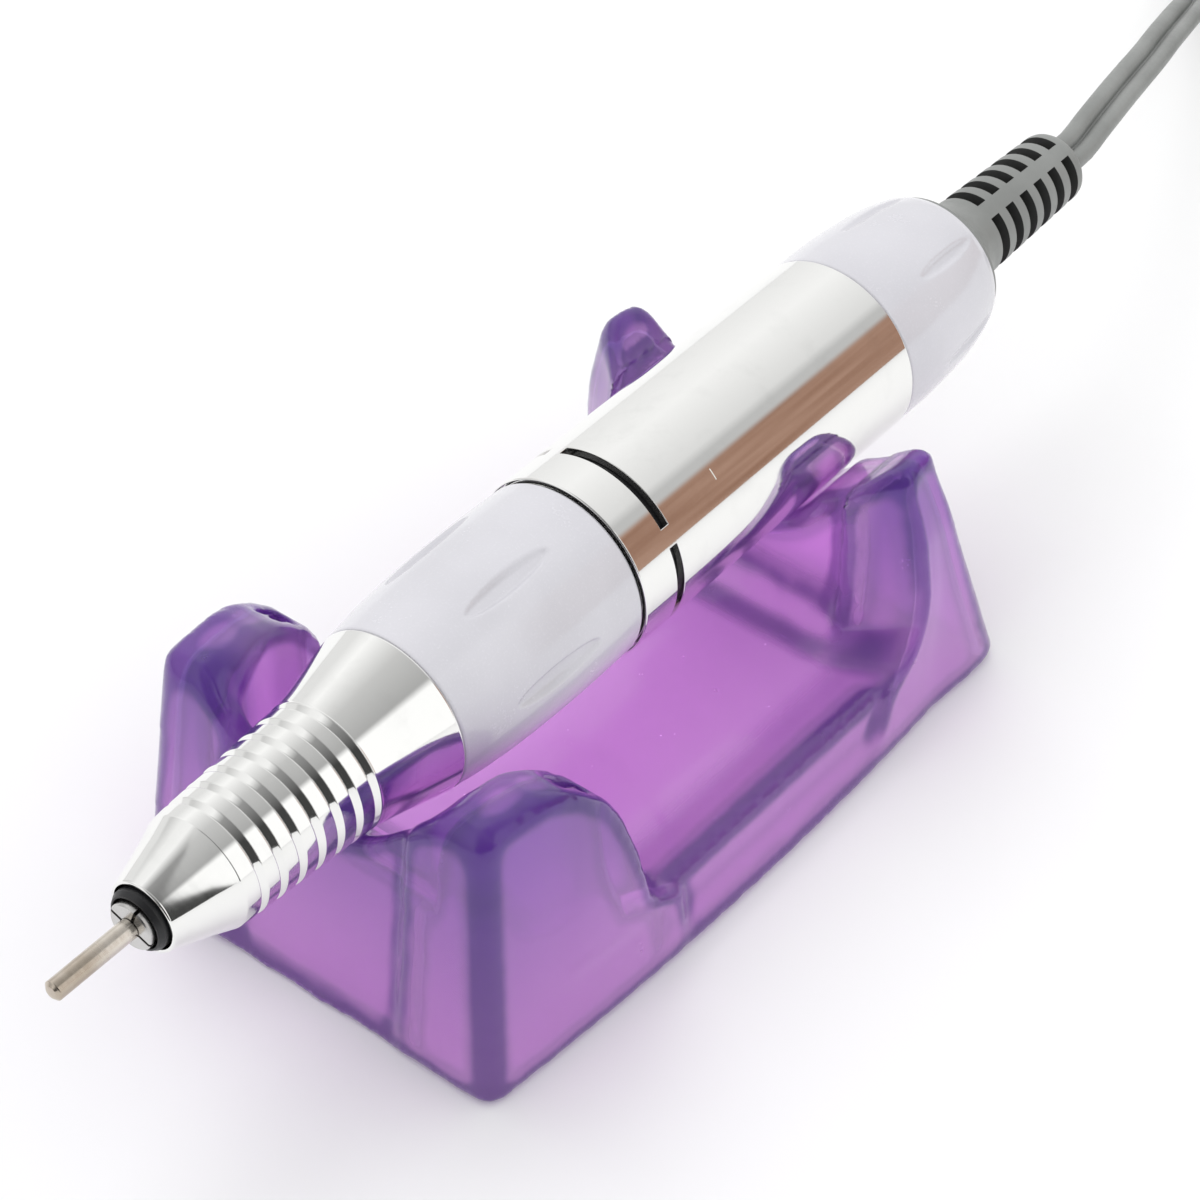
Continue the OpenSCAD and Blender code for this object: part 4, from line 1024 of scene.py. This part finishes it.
# The brightness that the chrome mirrors at each turn about the handpiece, in degrees from
# the right side: grey room, white paper, then a dark screen's edge and soft boxes beyond it.
# Which of them shows goes by how far the mirrored direction points backwards. The tube also
# mirrors a brown strip with a dark line under it, which lie between turns in radians.
mirrorValues = {
    "bright": 1.15, "tubeFrom": (0.48, 0.54), "tipWithin": (-0.15, -0.138, 0.05, 0.09),
    "tipBelow": (-0.34, -0.3), "strip": (-0.07, -0.03, 0.7, 0.84),
    "stripTones": ("#8f6c5a", "#ab8a78"), "line": (-0.17, -0.16, -0.13, -0.12),
    "lineTone": (0.12, 0.11, 0.11, 1), "lineShare": 0.6,
    "shells": [(-180, 0.75), (-35, 0.7), (0, 1.0), (50, 1.0), (58, 0.4), (100, 0.55),
               (140, 0.95), (160, 0.75)],
    "tube": [(-180, 0.8), (-40, 0.75), (0, 0.5), (55, 0.5), (65, 0.7), (125, 0.9), (180, 0.8)],
    "cone": [(-180, 0.65), (-20, 0.65), (-5, 0.05), (45, 0.05), (100, 0.3), (120, 0.9),
             (140, 0.85), (160, 0.6)],
}


def buildWorld():
    v = mirrorValues
    world = bpy.data.worlds.new("softStudio")
    scene.world = world
    world.use_nodes = True
    tree = world.node_tree
    backdrop = tree.nodes["Background"]
    way = Signal(tree, tree.nodes.new("ShaderNodeTexCoord").outputs["Generated"])
    y = way.part("Y")
    around = way.math("ARCTAN2", way.part("Z"), way.part("X"))

    def mirrored(kind):
        stops = [(turn / 360 + 0.5, (shade,) * 3) for turn, shade in v[kind]]
        return way.node("ShaderNodeValToRGB", {"stops": stops},
                        {"Fac": around * (1 / math.tau) + 0.5})

    tip = y.band(*v["tipWithin"]) + (1 - y.spread(*v["tipBelow"]))
    along = y.spread(*v["tubeFrom"])
    grain = way.noise(9.0, 6.0, 0.6, (1.0, 6.0, 1.0)).spread(0.3, 0.7)
    wood = mixColour(grain, *(rgba(code) for code in v["stripTones"]))
    seen = mixColour(along, mirrored("shells"), mirrored("tube"))
    seen = mixColour(tip, seen, mirrored("cone"))
    seen = mixColour(along * around.band(*v["strip"]), seen, wood)
    seen = mixColour(along * around.band(*v["line"]) * v["lineShare"], seen, v["lineTone"])
    seen = seen.node("ShaderNodeMix", {"data_type": "RGBA", "blend_type": "MULTIPLY"},
                     {0: 1.0, 6: seen, 7: (v["bright"],) * 3 + (1,)}, 2)
    plain = studioValues["world"]
    glossy = Signal(tree, tree.nodes.new("ShaderNodeLightPath").outputs["Is Glossy Ray"])
    direct = Signal(tree, glossy.socket.node.outputs["Is Camera Ray"])
    lit = mixColour(direct, (plain, plain, plain, 1), (1, 1, 1, 1))
    tree.links.new(mixColour(glossy, lit, seen).socket, backdrop.inputs["Color"])
    backdrop.inputs["Strength"].default_value = 1.0


def addLamp(name, place, side, power):
    data = bpy.data.lights.new(name, "AREA")
    data.shape = "RECTANGLE"
    data.size = data.size_y = side
    data.energy = power
    lamp = bpy.data.objects.new(name, data)
    lamp.location = place
    toAim = Vector(studioValues["lampAim"]) - Vector(place)
    lamp.rotation_euler = toAim.to_track_quat("-Z", "Y").to_euler()
    lamp.visible_glossy = False
    scene.collection.objects.link(lamp)


buildFloor()
buildWorld()
for lampName, lampSetting in studioValues["lamps"].items():
    addLamp(lampName, *lampSetting)
scene.view_settings.view_transform = "Standard"
print("studio lit")


# The photograph's pixels in which a piece's finished vertices show
def reachInPhoto(piece):
    shown = piece.evaluated_get(bpy.context.evaluated_depsgraph_get()).to_mesh()
    spots = [pixelOf(piece.matrix_world @ vert.co) for vert in shown.vertices]
    return [p[0] for p in spots], [p[1] for p in spots]


def rimPixel(station, radius, angle):
    return pixelOf(onAxis(station, radius, angle))


# Where the joint that runs round the axis comes nearest to its image point
def ringBeside(name, station, radius):
    x, y = imagePoints[name]
    around = (rimPixel(station, radius, half / 2) for half in range(720))
    return min(around, key=lambda spot: math.hypot(spot[0] - x, spot[1] - y))


# How far each named point is from its place in the photograph
def writePoints():
    body = [chromeNose, pearlGrip, chromeTube, pearlCap, greyRelief, testShank, purpleCradle]
    across, down = zip(*(reachInPhoto(piece) for piece in body))
    xs, ys = sum(across, []), sum(down, [])
    cradleX, cradleY = reachInPhoto(purpleCradle)
    lowest = max(range(len(cradleY)), key=lambda k: cradleY[k])
    rightmost = max(range(len(cradleX)), key=lambda k: cradleX[k])
    dimple = (gripValues["dimpleFrom"] + gripValues["dimpleTo"]) / 2
    slot = (tubeValues["slotFrom"] + tubeValues["slotTo"]) / 2
    found = {
        "left": (min(xs), None), "right": (max(xs), None), "top": (None, min(ys)),
        "bottom": (None, max(ys)), "shankTip": rimPixel(shankTip, 0, 0),
        "noseJoint": ringBeside("noseJoint", *noseValues["taper"][-1]),
        "gripJoint": ringBeside("gripJoint", *gripValues["line"][-1]),
        "capJoint": ringBeside("capJoint", *capValues["line"][0]),
        "cradleFrontCorner": (cradleX[lowest], cradleY[lowest]),
        "cradleRearCorner": (cradleX[rightmost], cradleY[rightmost]),
        "gripDimple": rimPixel(dimple, radiusOnLine(dimple, gripValues["line"]), dimpleAngle),
        "indexMark": rimPixel(*markPlace),
        "slotEnd": rimPixel(slot, tubeRadius, tubeValues["slotAngles"][0]),
    }
    for name, (x, y) in found.items():
        px, py = imagePoints[name]
        None if px is None else round(x - px, 1)
        None if py is None else round(y - py, 1)


writePoints()
